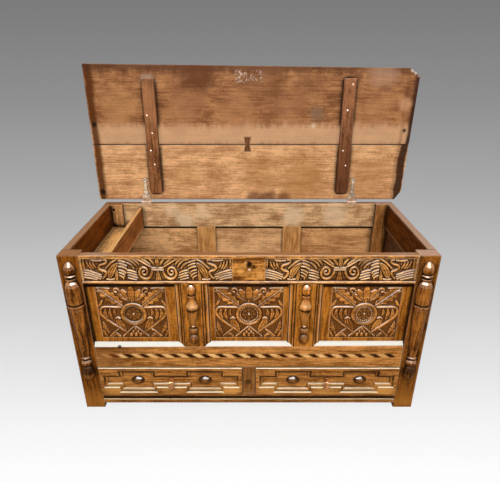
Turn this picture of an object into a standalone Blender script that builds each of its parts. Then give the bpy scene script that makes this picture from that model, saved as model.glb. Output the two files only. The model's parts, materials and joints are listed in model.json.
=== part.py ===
"""Joined oak mule chest: a panelled case with a lift lid over two drawers.

Metres, +Z up. X runs along the chest, the front faces -Y, and the origin is on
the floor at the middle of the whole object with its lid standing open.
"""

import math

import bmesh
import bpy
from mathutils import Matrix, Vector

# Clearances
GAP = 0.0003  # between neighbours that are fixed together
RUN = 0.0010  # round the drawers and beside the turning hinge pieces
PIN_PLAY = 0.0001  # between a hinge pin and its bore
ARRIS = 0.0015  # chamfer on the sawn edges

# Case
CASE_WIDTH = 1.370
CASE_DEPTH = 0.589
CASE_HEIGHT = 0.712
POST_WIDTH = 0.078
POST_DEPTH = 0.052
BACK_POST_WIDTH = 0.085
BACK_POST_DEPTH = 0.045
RAIL_T = 0.029
END_RAIL_T = 0.030
BACK_RAIL_T = 0.028

# Heights up the front
FOOT_HEIGHT = 0.024
BOTTOM_RAIL_HEIGHT = 0.051
DRAWER_OPENING = 0.139
MID_RAIL_FACE = 0.099
SILL_HEIGHT = 0.016
FRIEZE_HEIGHT = 0.114

# Joinery
TENON_T = 0.010
TENON_LENGTH = 0.028
TENON_SHOULDER = 0.019
TENON_SET_BACK = 0.010
STUB = 0.008  # short tenons of muntins and the drawer divider
TONGUE = 0.008  # how far a panel enters its groove
GROOVE_ROOM = 0.001  # depth left behind a tongue
HOUSING = 0.004  # how far the till boards enter the rails

# Panels and muntins
PANEL_T = 0.010
PANEL_SET_BACK = 0.014
BACK_SET_BACK = 0.010
FRONT_MUNTIN_SHARE = 0.350  # of the way from the middle to the post
FRONT_MUNTIN_FLAT = 0.072
MOULDING_WIDTH = 0.028
BACK_MUNTIN_SHARE = 0.348
BACK_MUNTIN_WIDTH = 0.088
END_TOP_HEIGHT = 0.117
BACK_TOP_HEIGHT = 0.116
LOWER_BOARD_HEIGHT = 0.259

# Sunk ground of the carving
CARVING_DEPTH = 0.006
FRIEZE_FIELD_INNER_X = 0.060
FRIEZE_FIELD_MARGIN = 0.008
FRIEZE_FIELD_DROP = 0.013
FRIEZE_FIELD_HEIGHT = 0.088
PANEL_FIELD_WIDTH = 0.258
PANEL_FIELD_HEIGHT = 0.226
KEYHOLE_RADIUS = 0.006
KEYHOLE_DROP = 0.035

# Mouldings run along the rails
BEAD_HEIGHT = 0.012
BEAD_PROUD = 0.005
BOTTOM_GROOVE_DROP = 0.026
BOTTOM_GROOVE = 0.005

# Chest floor and till
FLOOR_T = 0.014
FLOOR_RISE = 0.010
FLOOR_TONGUE = 0.008
TILL_WIDTH = 0.133
TILL_WALL_T = 0.012
TILL_WALL_DROP = 0.018
TILL_FLOOR_DROP = 0.1115
TILL_FLOOR_T = 0.007
TILL_PIVOT_RADIUS = 0.007
TILL_PIVOT_DROP = 0.024
TILL_PIVOT_DEPTH = 0.008

# Split turnings
POST_BALUSTER_RADIUS = 0.030
POST_BALUSTER_DROP = 0.022
POST_BALUSTER_FOOT = 0.156  # its lower end above the floor
MUNTIN_BALUSTER_RADIUS = 0.0235
MUNTIN_BALUSTER_DROP = 0.001
MUNTIN_BALUSTER_FOOT = 0.018  # its lower end above the muntin's
SAW_KERF = 0.0016
TURNING_STEPS = 20

# Drawers
DRAWER_DEPTH = 0.500
DRAWER_FRONT_T = 0.033
DRAWER_PROUD = 0.007
DRAWER_RELIEF = 0.013
DRAWER_RIM = 0.0105
DRAWER_MOULDING = 0.019
DRAWER_NECK = 0.029
DRAWER_SQUARE = 0.120
DRAWER_SIDE_T = 0.013
DRAWER_SIDE_HEIGHT = 0.114
DRAWER_SIDE_INSET = 0.002
DRAWER_BOTTOM_T = 0.009
DRAWER_BOTTOM_RISE = 0.006
DIVIDER_WIDTH = 0.053
BOSS_SHARE = 0.475  # of the way from the middle to the drawer's end
BOSS_HALF_WIDTH = 0.0265
BOSS_HALF_HEIGHT = 0.0185
BOSS_PROUD = 0.015

# Drawer runners
RUNNER_T = 0.020
SIDE_RUNNER_REACH = 0.032
CENTRE_RUNNER_WIDTH = 0.100
GUIDE_HEIGHT = 0.022

# Drop handles
DROP_LENGTH = 0.040
DROP_WIDTH = 0.028
DROP_T = 0.010
DROP_EYE_RADIUS = 0.0046
DROP_BORE_RADIUS = 0.0022
STAPLE_RADIUS = 0.0013
STAPLE_WIDTH = 0.013
ROSE_RADIUS = 0.0115
ROSE_T = 0.002

# Lid
LID_END_OVERHANG = 0.033
LID_FRONT_OVERHANG = 0.0225
LID_REAR_SHARE = 0.434  # of the lid's depth that is the rear board
LID_TAPER = 0.018  # the right end of the front board is this much narrower
LID_RIGHT_EXTRA = 0.0075  # the right end overhangs this much more than the left one
LID_FLARE = 0.0175  # and stands out this much further at the lid's front
LID_T = 0.022
LID_EDGE = 0.003
LID_SEAM = 0.0012
LID_REST = 0.0005  # air under the lid when it is shut
LID_OPEN_DEG = 92.0
FRONT_CHIP_X = 0.046
FRONT_CHIP_Y = 0.030
REAR_CHIP_X = 0.028
REAR_CHIP_Y = 0.042
BATTEN_INSET = 0.247  # from the end of the case to the middle of the batten
BATTEN_WIDTH = 0.053
BATTEN_T = 0.020
BATTEN_REAR = 0.047
BATTEN_FRONT = 0.059
KEY_LENGTH = 0.068
KEY_WIDTH = 0.036
KEY_WAIST = 0.020
KEY_T = 0.010
KEY_X = -0.007

# Lid hinges
HINGE_INSET = 0.193  # from the end of the case to the middle of the hinge
HINGE_PLATE_T = 0.002
HINGE_PLATE_GAP = 0.0004
HINGE_BEHIND = 0.0045  # axis behind the back of the case
HINGE_EDGE = 0.012  # axis to the rear edge of the lid
HINGE_WIDTH = 0.046
KNUCKLE_RADIUS = 0.0035
KNUCKLE_LENGTH = 0.015
PIN_RADIUS = 0.0015
HINGE_SEGMENTS = 16
STRAP_LENGTH = 0.118
STRAP_FLARE = 0.050
STRAP_NECK = 0.012
STRAP_FINIAL_RADIUS = 0.0095

# Levels and faces that follow from the sizes above
HALF = CASE_WIDTH / 2
TOP = CASE_HEIGHT
OPENING_HALF = HALF - POST_WIDTH
BACK_OPENING_HALF = HALF - BACK_POST_WIDTH
DRAWER_LOW = FOOT_HEIGHT + BOTTOM_RAIL_HEIGHT
MID_LOW = DRAWER_LOW + DRAWER_OPENING
SILL_LOW = MID_LOW + MID_RAIL_FACE
SILL_TOP = SILL_LOW + SILL_HEIGHT
FRIEZE_LOW = TOP - FRIEZE_HEIGHT
LOWER_TOP = FOOT_HEIGHT + LOWER_BOARD_HEIGHT
FLOOR_LOW = MID_LOW + FLOOR_RISE
TILL_FLOOR_TOP = TOP - TILL_FLOOR_DROP
TILL_FLOOR_LOW = TILL_FLOOR_TOP - TILL_FLOOR_T
INNER_X = HALF - END_RAIL_T
TILL_WALL_X = -INNER_X + TILL_WIDTH
MUNTIN_HALF = FRONT_MUNTIN_FLAT / 2 + MOULDING_WIDTH
FRONT_MUNTIN_X = OPENING_HALF * FRONT_MUNTIN_SHARE
BACK_MUNTIN_X = BACK_OPENING_HALF * BACK_MUNTIN_SHARE
POST_BALUSTER_LENGTH = TOP - POST_BALUSTER_DROP - POST_BALUSTER_FOOT
MUNTIN_BALUSTER_LENGTH = FRIEZE_LOW - MUNTIN_BALUSTER_DROP - SILL_LOW - MUNTIN_BALUSTER_FOOT

OPEN = math.radians(LID_OPEN_DEG)
LID_LOW = HINGE_PLATE_GAP / 2 + HINGE_PLATE_T + GAP  # underside above the axis, lid shut
LID_WIDTH = CASE_WIDTH + 2 * LID_END_OVERHANG
LID_LENGTH = CASE_DEPTH + HINGE_BEHIND - HINGE_EDGE + LID_FRONT_OVERHANG
LID_REAR_BOARD = LID_LENGTH * LID_REAR_SHARE
BATTEN_X = HALF - BATTEN_INSET
HINGE_X = HALF - HINGE_INSET
LEAF_LENGTH = BACK_RAIL_T + HINGE_BEHIND
HINGE_Z = TOP + LID_REST - LID_LOW


def lid_reach():
    """How far the open lid stands behind the back of the case."""
    along = HINGE_EDGE + LID_LENGTH - LID_EDGE
    return HINGE_BEHIND - along * math.cos(OPEN) + (LID_LOW + LID_T) * math.sin(OPEN)


FRONT_REACH = POST_BALUSTER_RADIUS + GAP - SAW_KERF / 2
FRONT = FRONT_REACH - (FRONT_REACH + CASE_DEPTH + lid_reach()) / 2
BACK = FRONT + CASE_DEPTH
REAR_INNER_Y = BACK - BACK_RAIL_T
PANEL_Y = FRONT + PANEL_SET_BACK
BACK_PANEL_Y = REAR_INNER_Y + BACK_SET_BACK
END_PANEL_X = INNER_X + BACK_SET_BACK
HINGE_Y = BACK + HINGE_BEHIND


def collection(name):
    made = bpy.data.collections.new(name)
    bpy.context.scene.collection.children.link(made)
    return made


for old in list(bpy.data.objects):
    bpy.data.objects.remove(old, do_unlink=True)
PARTS = collection("mule_chest")
HELPERS = collection("cutters")


def finish(name, colour, roughness, metallic=0.0):
    made = bpy.data.materials.new(name)
    made.use_nodes = True
    shader = made.node_tree.nodes["Principled BSDF"]
    shader.inputs["Base Color"].default_value = (*colour, 1.0)
    shader.inputs["Roughness"].default_value = roughness
    shader.inputs["Metallic"].default_value = metallic
    return made


POLISHED_OAK = finish("polished_oak", (0.30, 0.135, 0.042), 0.38)
DRY_OAK = finish("dry_oak", (0.42, 0.23, 0.095), 0.65)
DARK_OAK = finish("dark_oak", (0.17, 0.075, 0.030), 0.45)
IRON = finish("pale_iron", (0.45, 0.42, 0.36), 0.45, 0.8)
BRASS = finish("old_brass", (0.55, 0.30, 0.13), 0.35, 0.9)


# Building blocks
def place(obj, mesh_data, group, parent):
    bmesh.ops.recalc_face_normals(mesh_data, faces=mesh_data.faces)
    mesh_data.to_mesh(obj.data)
    mesh_data.free()
    group.objects.link(obj)
    obj.parent = parent
    return obj


def part(name, mesh_data, look, parent=None):
    obj = bpy.data.objects.new(name, bpy.data.meshes.new(name))
    obj.data.materials.append(look)
    return place(obj, mesh_data, PARTS, parent)


def combine(target, mesh_data, operation):
    """Joins a helper shape to a part, or cuts it out, with a Boolean modifier."""
    name = f"{target.name}_{operation.lower()}_{len(target.modifiers)}"
    helper = bpy.data.objects.new(name, bpy.data.meshes.new(name))
    helper.hide_render = True
    helper.display_type = "WIRE"
    place(helper, mesh_data, HELPERS, target.parent)
    modifier = target.modifiers.new(name, "BOOLEAN")
    modifier.operation = operation
    modifier.object = helper


def cut(target, mesh_data):
    combine(target, mesh_data, "DIFFERENCE")


def join(target, mesh_data):
    combine(target, mesh_data, "UNION")


def box(low, high, arris=0.0):
    mesh_data = bmesh.new()
    low, high = Vector(low), Vector(high)
    fit = Matrix.LocRotScale((low + high) / 2, None, high - low)
    bmesh.ops.create_cube(mesh_data, size=1.0, matrix=fit)
    if arris:
        bmesh.ops.bevel(
            mesh_data, geom=mesh_data.edges[:], offset=arris, segments=1, affect="EDGES"
        )
    return mesh_data


def prism(outline, axis, start, end):
    """A flat outline carried along X, Y or Z from start to end."""
    spot = {
        "X": lambda a, b, t: (t, a, b),
        "Y": lambda a, b, t: (a, t, b),
        "Z": lambda a, b, t: (a, b, t),
    }[axis]
    mesh_data = bmesh.new()
    face = mesh_data.faces.new([mesh_data.verts.new(spot(a, b, start)) for a, b in outline])
    swept = bmesh.ops.extrude_face_region(mesh_data, geom=[face])["geom"]
    ends = [item for item in swept if isinstance(item, bmesh.types.BMVert)]
    bmesh.ops.translate(mesh_data, verts=ends, vec=spot(0.0, 0.0, end - start))
    return mesh_data


def cylinder(centre, radius, length, axis, segments=16):
    turn = {
        "X": Matrix.Rotation(math.pi / 2, 4, "Y"),
        "Y": Matrix.Rotation(math.pi / 2, 4, "X"),
        "Z": Matrix.Identity(4),
    }[axis]
    mesh_data = bmesh.new()
    bmesh.ops.create_cone(
        mesh_data, cap_ends=True, segments=segments, radius1=radius, radius2=radius,
        depth=length, matrix=Matrix.Translation(centre) @ turn,
    )
    return mesh_data


def egg(centre, half_size, segments=20, rings=10):
    mesh_data = bmesh.new()
    fit = Matrix.LocRotScale(Vector(centre), None, Vector(half_size))
    bmesh.ops.create_uvsphere(
        mesh_data, u_segments=segments, v_segments=rings, radius=1.0, matrix=fit
    )
    return mesh_data


def grown(low, high, by=GAP):
    return [value - by for value in low], [value + by for value in high]


def tenon(rail, socket, low, high):
    """A tenon on the rail, and its mortise in the piece that takes it."""
    join(rail, box(low, high))
    cut(socket, box(*grown(low, high)))


def quarter(start, end, bulge, steps=4):
    """Points of a quarter ellipse from start to end, convex (1) or hollow (-1)."""
    points = []
    for step in range(1, steps + 1):
        angle = math.pi / 2 * step / steps
        along, down = math.sin(angle), 1 - math.cos(angle)
        if bulge < 0:
            along, down = down, along
        points.append((
            start[0] + (end[0] - start[0]) * along,
            start[1] + (end[1] - start[1]) * down,
        ))
    return points


# Posts stand at the corners and carry every rail in mortises
def post(name, side, low_y, high_y, width):
    low_x, high_x = sorted((side * HALF, side * (HALF - width)))
    return part(name, box((low_x, low_y, 0), (high_x, high_y, TOP), ARRIS), POLISHED_OAK)


SIDES = {"left": -1, "right": 1}
FRONT_POSTS = {}
BACK_POSTS = {}
for word, side in SIDES.items():
    FRONT_POSTS[word] = post(f"front_{word}_post", side, FRONT, FRONT + POST_DEPTH, POST_WIDTH)
    BACK_POSTS[word] = post(f"back_{word}_post", side, BACK - BACK_POST_DEPTH, BACK, BACK_POST_WIDTH)


def post_grooves():
    """Stopped grooves that take the sides of the panels."""
    deep = TONGUE + GROOVE_ROOM
    for word, side in SIDES.items():
        front, back = FRONT_POSTS[word], BACK_POSTS[word]
        edge_x = sorted((side * OPENING_HALF, side * (OPENING_HALF + deep)))
        cut(front, box(
            (edge_x[0] - GAP, PANEL_Y - GAP, SILL_TOP - deep),
            (edge_x[1] + GAP, PANEL_Y + PANEL_T + GAP, FRIEZE_LOW + deep),
        ))
        edge_x = sorted((side * BACK_OPENING_HALF, side * (BACK_OPENING_HALF + deep)))
        cut(back, box(
            (edge_x[0] - GAP, BACK_PANEL_Y - GAP, LOWER_TOP - deep),
            (edge_x[1] + GAP, BACK_PANEL_Y + PANEL_T + GAP, TOP - BACK_TOP_HEIGHT + deep),
        ))
        panel_x = sorted((side * END_PANEL_X, side * (END_PANEL_X + PANEL_T)))
        low_z, high_z = LOWER_TOP - deep, TOP - END_TOP_HEIGHT + deep
        front_y, back_y = FRONT + POST_DEPTH, BACK - BACK_POST_DEPTH
        cut(front, box(
            (panel_x[0] - GAP, front_y - deep, low_z), (panel_x[1] + GAP, front_y + GAP, high_z)
        ))
        cut(back, box(
            (panel_x[0] - GAP, back_y - GAP, low_z), (panel_x[1] + GAP, back_y + deep, high_z)
        ))


post_grooves()


# Front rails
def grooved_edge(z, into, set_back=PANEL_SET_BACK):
    """Four points of a panel groove in a rail's edge, front to back; into is +1 or -1."""
    deep = z + into * (TONGUE + GROOVE_ROOM)
    near, far = FRONT + set_back - GAP, FRONT + set_back + PANEL_T + GAP
    return [(near, z), (near, deep), (far, deep), (far, z)]


def rail_tenons(rail, sockets, half, low_z, high_z, set_y):
    for word, side in SIDES.items():
        reach = sorted((side * (half - TENON_LENGTH), side * (half + TENON_LENGTH)))
        tenon(
            rail, sockets[word],
            (reach[0], set_y, low_z + TENON_SHOULDER),
            (reach[1], set_y + TENON_T, high_z - TENON_SHOULDER),
        )


def bead(z, height, proud, steps=6):
    """A half-round standing out of the front face, from z up to z + height."""
    turns = [math.pi * step / steps for step in range(steps + 1)]
    return [
        (FRONT - proud * math.sin(turn), z + height / 2 - height / 2 * math.cos(turn))
        for turn in turns
    ]


def front_rail(name, outline):
    return part(name, prism(outline, "X", -OPENING_HALF + GAP, OPENING_HALF - GAP), POLISHED_OAK)


FRONT_TENON_Y = FRONT + TENON_SET_BACK
RAIL_BACK = FRONT + RAIL_T

frieze_rail = front_rail("frieze_rail", [
    *bead(FRIEZE_LOW, BEAD_HEIGHT, BEAD_PROUD),
    (FRONT, TOP - ARRIS), (FRONT + ARRIS, TOP),
    (RAIL_BACK - ARRIS, TOP), (RAIL_BACK, TOP - ARRIS), (RAIL_BACK, FRIEZE_LOW),
    *reversed(grooved_edge(FRIEZE_LOW, 1)),
])
rail_tenons(frieze_rail, FRONT_POSTS, OPENING_HALF, FRIEZE_LOW, TOP, FRONT_TENON_Y)
for side in SIDES.values():
    field_x = sorted((side * FRIEZE_FIELD_INNER_X, side * (OPENING_HALF - FRIEZE_FIELD_MARGIN)))
    field_top = TOP - FRIEZE_FIELD_DROP
    cut(frieze_rail, box(
        (field_x[0], FRONT - CARVING_DEPTH, field_top - FRIEZE_FIELD_HEIGHT),
        (field_x[1], FRONT + CARVING_DEPTH, field_top),
    ))
cut(frieze_rail, cylinder(
    (0, FRONT + RAIL_T / 2, TOP - KEYHOLE_DROP), KEYHOLE_RADIUS, 2 * RAIL_T, "Y"
))

FLOOR_GROOVE_Y = RAIL_BACK - FLOOR_TONGUE - GAP
front_mid_rail = front_rail("front_mid_rail", [
    (FRONT + ARRIS, MID_LOW), (FRONT, MID_LOW + ARRIS), (FRONT, SILL_LOW),
    *grooved_edge(SILL_TOP, -1),
    (RAIL_BACK, SILL_TOP),
    (RAIL_BACK, FLOOR_LOW + FLOOR_T + GAP), (FLOOR_GROOVE_Y, FLOOR_LOW + FLOOR_T + GAP),
    (FLOOR_GROOVE_Y, FLOOR_LOW - GAP), (RAIL_BACK, FLOOR_LOW - GAP),
    (RAIL_BACK, MID_LOW),
])
rail_tenons(front_mid_rail, FRONT_POSTS, OPENING_HALF, MID_LOW, SILL_LOW, FRONT_TENON_Y)

groove_top = DRAWER_LOW - BOTTOM_GROOVE_DROP
front_bottom_rail = front_rail("front_bottom_rail", [
    (FRONT + ARRIS, FOOT_HEIGHT), (FRONT, FOOT_HEIGHT + ARRIS),
    (FRONT, groove_top - BOTTOM_GROOVE), (FRONT + BOTTOM_GROOVE, groove_top - BOTTOM_GROOVE),
    (FRONT, groove_top), (FRONT, DRAWER_LOW - ARRIS), (FRONT + ARRIS, DRAWER_LOW),
    (RAIL_BACK, DRAWER_LOW), (RAIL_BACK, FOOT_HEIGHT),
])
rail_tenons(
    front_bottom_rail, FRONT_POSTS, OPENING_HALF,
    FOOT_HEIGHT - TENON_SHOULDER / 2, DRAWER_LOW + TENON_SHOULDER / 2, FRONT_TENON_Y,
)


# Front muntins, with mouldings run down both edges
def run_moulding(width, depth):
    """Quirk, bead, fillet and hollow, from the flat face down to the panel."""
    quirk = (0.0, depth * 0.12)
    bead_end = (width * 0.32, depth * 0.36)
    step = (width * 0.34, depth * 0.48)
    fillet = (width * 0.46, depth * 0.50)
    hollow_end = (width * 0.84, depth * 0.80)
    foot = (width * 0.86, depth * 0.94)
    rounds = [*quarter(quirk, bead_end, 1), step, fillet, *quarter(fillet, hollow_end, -1)]
    return [(0.0, 0.0), quirk, *rounds, foot, (width, depth)]


def muntin_edge(grow):
    """One moulded edge in plan, from the flat to the back face."""
    start = FRONT_MUNTIN_FLAT / 2 + grow
    run = [(start + a, FRONT + b) for a, b in run_moulding(MOULDING_WIDTH, PANEL_SET_BACK - GAP)]
    return [*run, (MUNTIN_HALF + grow, RAIL_BACK)]


def muntin_groove(half):
    inner = half - TONGUE - GROOVE_ROOM
    near, far = PANEL_Y - GAP, PANEL_Y + PANEL_T + GAP
    return [(half, near), (inner, near), (inner, far), (half, far)]


def mirrored(edge, x):
    """A closed outline from one edge and its mirror image about x."""
    return [(x + a, b) for a, b in edge] + [(x - a, b) for a, b in reversed(edge)]


def front_muntin(word, x):
    edge = muntin_edge(0.0)
    grooved = [*edge[:-2], *muntin_groove(MUNTIN_HALF), edge[-1]]
    low, high = SILL_LOW + GAP, FRIEZE_LOW - GAP
    name = f"front_{word}_muntin"
    muntin = part(name, prism(mirrored(grooved, x), "Z", low, high), POLISHED_OAK)
    stub_half = MUNTIN_HALF - TONGUE - 2 * GROOVE_ROOM
    near, far = PANEL_Y, PANEL_Y + PANEL_T
    join(muntin, box((x - stub_half, near, high - STUB), (x + stub_half, far, high + STUB)))
    tenon(
        muntin, front_mid_rail,
        (x - stub_half, near, low - STUB), (x + stub_half, far, low + STUB),
    )
    seat = prism(mirrored(muntin_edge(GAP), x), "Z", SILL_LOW, SILL_TOP + SILL_HEIGHT)
    for vert in seat.verts:
        vert.co.y += GAP if vert.co.y > RAIL_BACK - GAP else -GAP
    cut(front_mid_rail, seat)


for word, side in SIDES.items():
    front_muntin(word, side * FRONT_MUNTIN_X)


# Front panels, each with a sunk field for its carving
def front_panel(word, low_x, high_x):
    low_z, high_z = SILL_TOP - TONGUE, FRIEZE_LOW + TONGUE
    panel = part(f"front_{word}_panel", box(
        (low_x - TONGUE, PANEL_Y, low_z), (high_x + TONGUE, PANEL_Y + PANEL_T, high_z)
    ), POLISHED_OAK)
    x, z = (low_x + high_x) / 2, (SILL_TOP + FRIEZE_LOW) / 2
    half = Vector((PANEL_FIELD_WIDTH / 2, CARVING_DEPTH, PANEL_FIELD_HEIGHT / 2))
    centre = Vector((x, PANEL_Y, z))
    cut(panel, box(centre - half, centre + half))


near_edge = FRONT_MUNTIN_X - MUNTIN_HALF
far_edge = FRONT_MUNTIN_X + MUNTIN_HALF
front_panel("left", -OPENING_HALF, -far_edge)
front_panel("middle", -near_edge, near_edge)
front_panel("right", far_edge, OPENING_HALF)

drawer_divider = part("drawer_divider", box(
    (-DIVIDER_WIDTH / 2, FRONT, DRAWER_LOW + GAP), (DIVIDER_WIDTH / 2, RAIL_BACK, MID_LOW - GAP)
), POLISHED_OAK)
stub_x = DIVIDER_WIDTH / 2 - STUB
for socket, z in ((front_bottom_rail, DRAWER_LOW), (front_mid_rail, MID_LOW)):
    tenon(
        drawer_divider, socket,
        (-stub_x, FRONT_TENON_Y, z - STUB), (stub_x, FRONT_TENON_Y + TENON_T, z + STUB),
    )


# Ends: a top rail, a wide lower board and a panel between them
def end_outline(side, low, high, groove_z, into, housing=None):
    """Section of an end board in X and Z, with its panel groove and any housing."""
    deep = groove_z + into * (TONGUE + GROOVE_ROOM)
    near, far = END_PANEL_X - GAP, END_PANEL_X + PANEL_T + GAP
    groove = [(near, groove_z), (near, deep), (far, deep), (far, groove_z)]
    inside = []
    if housing:
        bottom = INNER_X + FLOOR_TONGUE + GAP
        inside = [(INNER_X, housing[1] + GAP), (bottom, housing[1] + GAP)]
        inside += [(bottom, housing[0] - GAP), (INNER_X, housing[0] - GAP)]
    if into > 0:
        outline = [(INNER_X, low), *groove, (HALF, low), (HALF, high - ARRIS)]
        outline += [(HALF - ARRIS, high), (INNER_X + ARRIS, high), (INNER_X, high - ARRIS)]
    else:
        outline = [(HALF, low), (HALF, high), *reversed(groove), (INNER_X, high), *inside, (INNER_X, low)]
    return [(side * x, z) for x, z in outline]


END_RAIL_SPAN = (FRONT + POST_DEPTH + GAP, BACK - BACK_POST_DEPTH - GAP)
END_TOP_RAILS = {}
for word, side in SIDES.items():
    end_low = TOP - END_TOP_HEIGHT
    top_rail = part(f"{word}_end_top_rail", prism(
        end_outline(side, end_low, TOP, end_low, 1), "Y", *END_RAIL_SPAN
    ), POLISHED_OAK)
    END_TOP_RAILS[word] = top_rail
    lower_board = part(f"{word}_end_lower_board", prism(
        end_outline(side, FOOT_HEIGHT, LOWER_TOP, LOWER_TOP, -1, (FLOOR_LOW, FLOOR_LOW + FLOOR_T)),
        "Y", *END_RAIL_SPAN,
    ), POLISHED_OAK)
    tenon_x = sorted((side * (HALF - TENON_SET_BACK), side * (HALF - TENON_SET_BACK - TENON_T)))
    for board, low_z, high_z in (
        (top_rail, end_low, TOP), (lower_board, FOOT_HEIGHT, LOWER_TOP)
    ):
        for socket, edge in ((FRONT_POSTS[word], END_RAIL_SPAN[0]), (BACK_POSTS[word], END_RAIL_SPAN[1])):
            reach = min(TENON_LENGTH, POST_DEPTH / 2, BACK_POST_DEPTH / 2)
            tenon(
                board, socket,
                (tenon_x[0], edge - reach, low_z + TENON_SHOULDER),
                (tenon_x[1], edge + reach, high_z - TENON_SHOULDER),
            )
    panel_x = sorted((side * END_PANEL_X, side * (END_PANEL_X + PANEL_T)))
    part(f"{word}_end_panel", box(
        (panel_x[0], END_RAIL_SPAN[0] - TONGUE, LOWER_TOP - TONGUE),
        (panel_x[1], END_RAIL_SPAN[1] + TONGUE, end_low + TONGUE),
    ), POLISHED_OAK)

# Back: a top rail, a wide lower board, two muntins and three panels
BACK_GROOVE = (BACK_PANEL_Y - GAP, BACK_PANEL_Y + PANEL_T + GAP)
BACK_LOW = TOP - BACK_TOP_HEIGHT
BACK_TENON_Y = REAR_INNER_Y + BACK_SET_BACK


def back_rail(name, outline):
    span = BACK_OPENING_HALF - GAP
    return part(name, prism(outline, "X", -span, span), DRY_OAK)


deep = TONGUE + GROOVE_ROOM
back_top_rail = back_rail("back_top_rail", [
    (REAR_INNER_Y, BACK_LOW), (REAR_INNER_Y, TOP - ARRIS), (REAR_INNER_Y + ARRIS, TOP),
    (BACK - ARRIS, TOP), (BACK, TOP - ARRIS), (BACK, BACK_LOW),
    (BACK_GROOVE[1], BACK_LOW), (BACK_GROOVE[1], BACK_LOW + deep),
    (BACK_GROOVE[0], BACK_LOW + deep), (BACK_GROOVE[0], BACK_LOW),
])
rail_tenons(back_top_rail, BACK_POSTS, BACK_OPENING_HALF, BACK_LOW, TOP, BACK_TENON_Y)
floor_stop = REAR_INNER_Y + FLOOR_TONGUE + GAP
back_lower_board = back_rail("back_lower_board", [
    (REAR_INNER_Y, FOOT_HEIGHT),
    (REAR_INNER_Y, FLOOR_LOW - GAP), (floor_stop, FLOOR_LOW - GAP),
    (floor_stop, FLOOR_LOW + FLOOR_T + GAP), (REAR_INNER_Y, FLOOR_LOW + FLOOR_T + GAP),
    (REAR_INNER_Y, LOWER_TOP),
    (BACK_GROOVE[0], LOWER_TOP), (BACK_GROOVE[0], LOWER_TOP - deep),
    (BACK_GROOVE[1], LOWER_TOP - deep), (BACK_GROOVE[1], LOWER_TOP),
    (BACK, LOWER_TOP), (BACK, FOOT_HEIGHT),
])
rail_tenons(back_lower_board, BACK_POSTS, BACK_OPENING_HALF, FOOT_HEIGHT, LOWER_TOP, BACK_TENON_Y)


def back_muntin(word, x):
    half = BACK_MUNTIN_WIDTH / 2
    near, far = BACK_GROOVE
    inner = half - TONGUE - GROOVE_ROOM
    edge = [(half, REAR_INNER_Y), (half, near), (inner, near), (inner, far), (half, far), (half, BACK)]
    low, high = LOWER_TOP + GAP, BACK_LOW - GAP
    muntin = part(f"back_{word}_muntin", prism(mirrored(edge, x), "Z", low, high), DRY_OAK)
    stub_half = inner - GROOVE_ROOM
    for z in (low, high):
        join(muntin, box(
            (x - stub_half, BACK_PANEL_Y, z - STUB),
            (x + stub_half, BACK_PANEL_Y + PANEL_T, z + STUB),
        ))


def back_panel(word, low_x, high_x):
    part(f"back_{word}_panel", box(
        (low_x - TONGUE, BACK_PANEL_Y, LOWER_TOP - TONGUE),
        (high_x + TONGUE, BACK_PANEL_Y + PANEL_T, BACK_LOW + TONGUE),
    ), DRY_OAK)


for word, side in SIDES.items():
    back_muntin(word, side * BACK_MUNTIN_X)
back_near = BACK_MUNTIN_X - BACK_MUNTIN_WIDTH / 2
back_far = BACK_MUNTIN_X + BACK_MUNTIN_WIDTH / 2
back_panel("left", -BACK_OPENING_HALF, -back_far)
back_panel("middle", -back_near, back_near)
back_panel("right", back_far, BACK_OPENING_HALF)

# Floor of the chest, let into grooves on all four sides and notched round the posts
wide, tail, ends = OPENING_HALF - GAP, BACK_OPENING_HALF - GAP, INNER_X + FLOOR_TONGUE
front_notch, back_notch = FRONT + POST_DEPTH + 2 * GAP, BACK - BACK_POST_DEPTH - 2 * GAP
floor_front, floor_back = RAIL_BACK - FLOOR_TONGUE, REAR_INNER_Y + FLOOR_TONGUE
floor_edge = [
    (wide, floor_front), (wide, front_notch), (ends, front_notch),
    (ends, back_notch), (tail, back_notch), (tail, floor_back),
]
part("chest_floor", prism(mirrored(floor_edge, 0.0), "Z", FLOOR_LOW, FLOOR_LOW + FLOOR_T), DRY_OAK)

# Till: an open box at the left end. Its wall stands on its floor, and both are housed in the rails
wall_y = (RAIL_BACK - HOUSING, REAR_INNER_Y + HOUSING)
wall_low = (TILL_WALL_X, wall_y[0], TILL_FLOOR_TOP + GAP)
wall_high = (TILL_WALL_X + TILL_WALL_T, wall_y[1], TOP - TILL_WALL_DROP)
part("till_wall", box(wall_low, wall_high), DRY_OAK)
till_right = TILL_WALL_X + TILL_WALL_T
till_end = INNER_X + HOUSING
part("till_floor", prism([
    (-wide, wall_y[0]), (till_right, wall_y[0]), (till_right, wall_y[1]), (-tail, wall_y[1]),
    (-tail, back_notch), (-till_end, back_notch), (-till_end, front_notch), (-wide, front_notch),
], "Z", TILL_FLOOR_LOW, TILL_FLOOR_TOP), DRY_OAK)
for rail in (frieze_rail, back_top_rail):
    cut(rail, box(*grown(wall_low, wall_high)))
    cut(rail, box(*grown(
        (-HALF, wall_y[0], TILL_FLOOR_LOW), (till_right, wall_y[1], TILL_FLOOR_TOP)
    )))
cut(END_TOP_RAILS["left"], box(*grown(
    (-till_end, FRONT, TILL_FLOOR_LOW), (TILL_WALL_X, BACK, TILL_FLOOR_TOP)
)))
pivot_x = -(INNER_X - TILL_PIVOT_RADIUS * 2)
for socket, y in (
    (FRONT_POSTS["left"], FRONT + POST_DEPTH), (BACK_POSTS["left"], BACK - BACK_POST_DEPTH)
):
    cut(socket, cylinder(
        (pivot_x, y, TOP - TILL_PIVOT_DROP), TILL_PIVOT_RADIUS, 2 * TILL_PIVOT_DEPTH, "Y"
    ))

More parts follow.
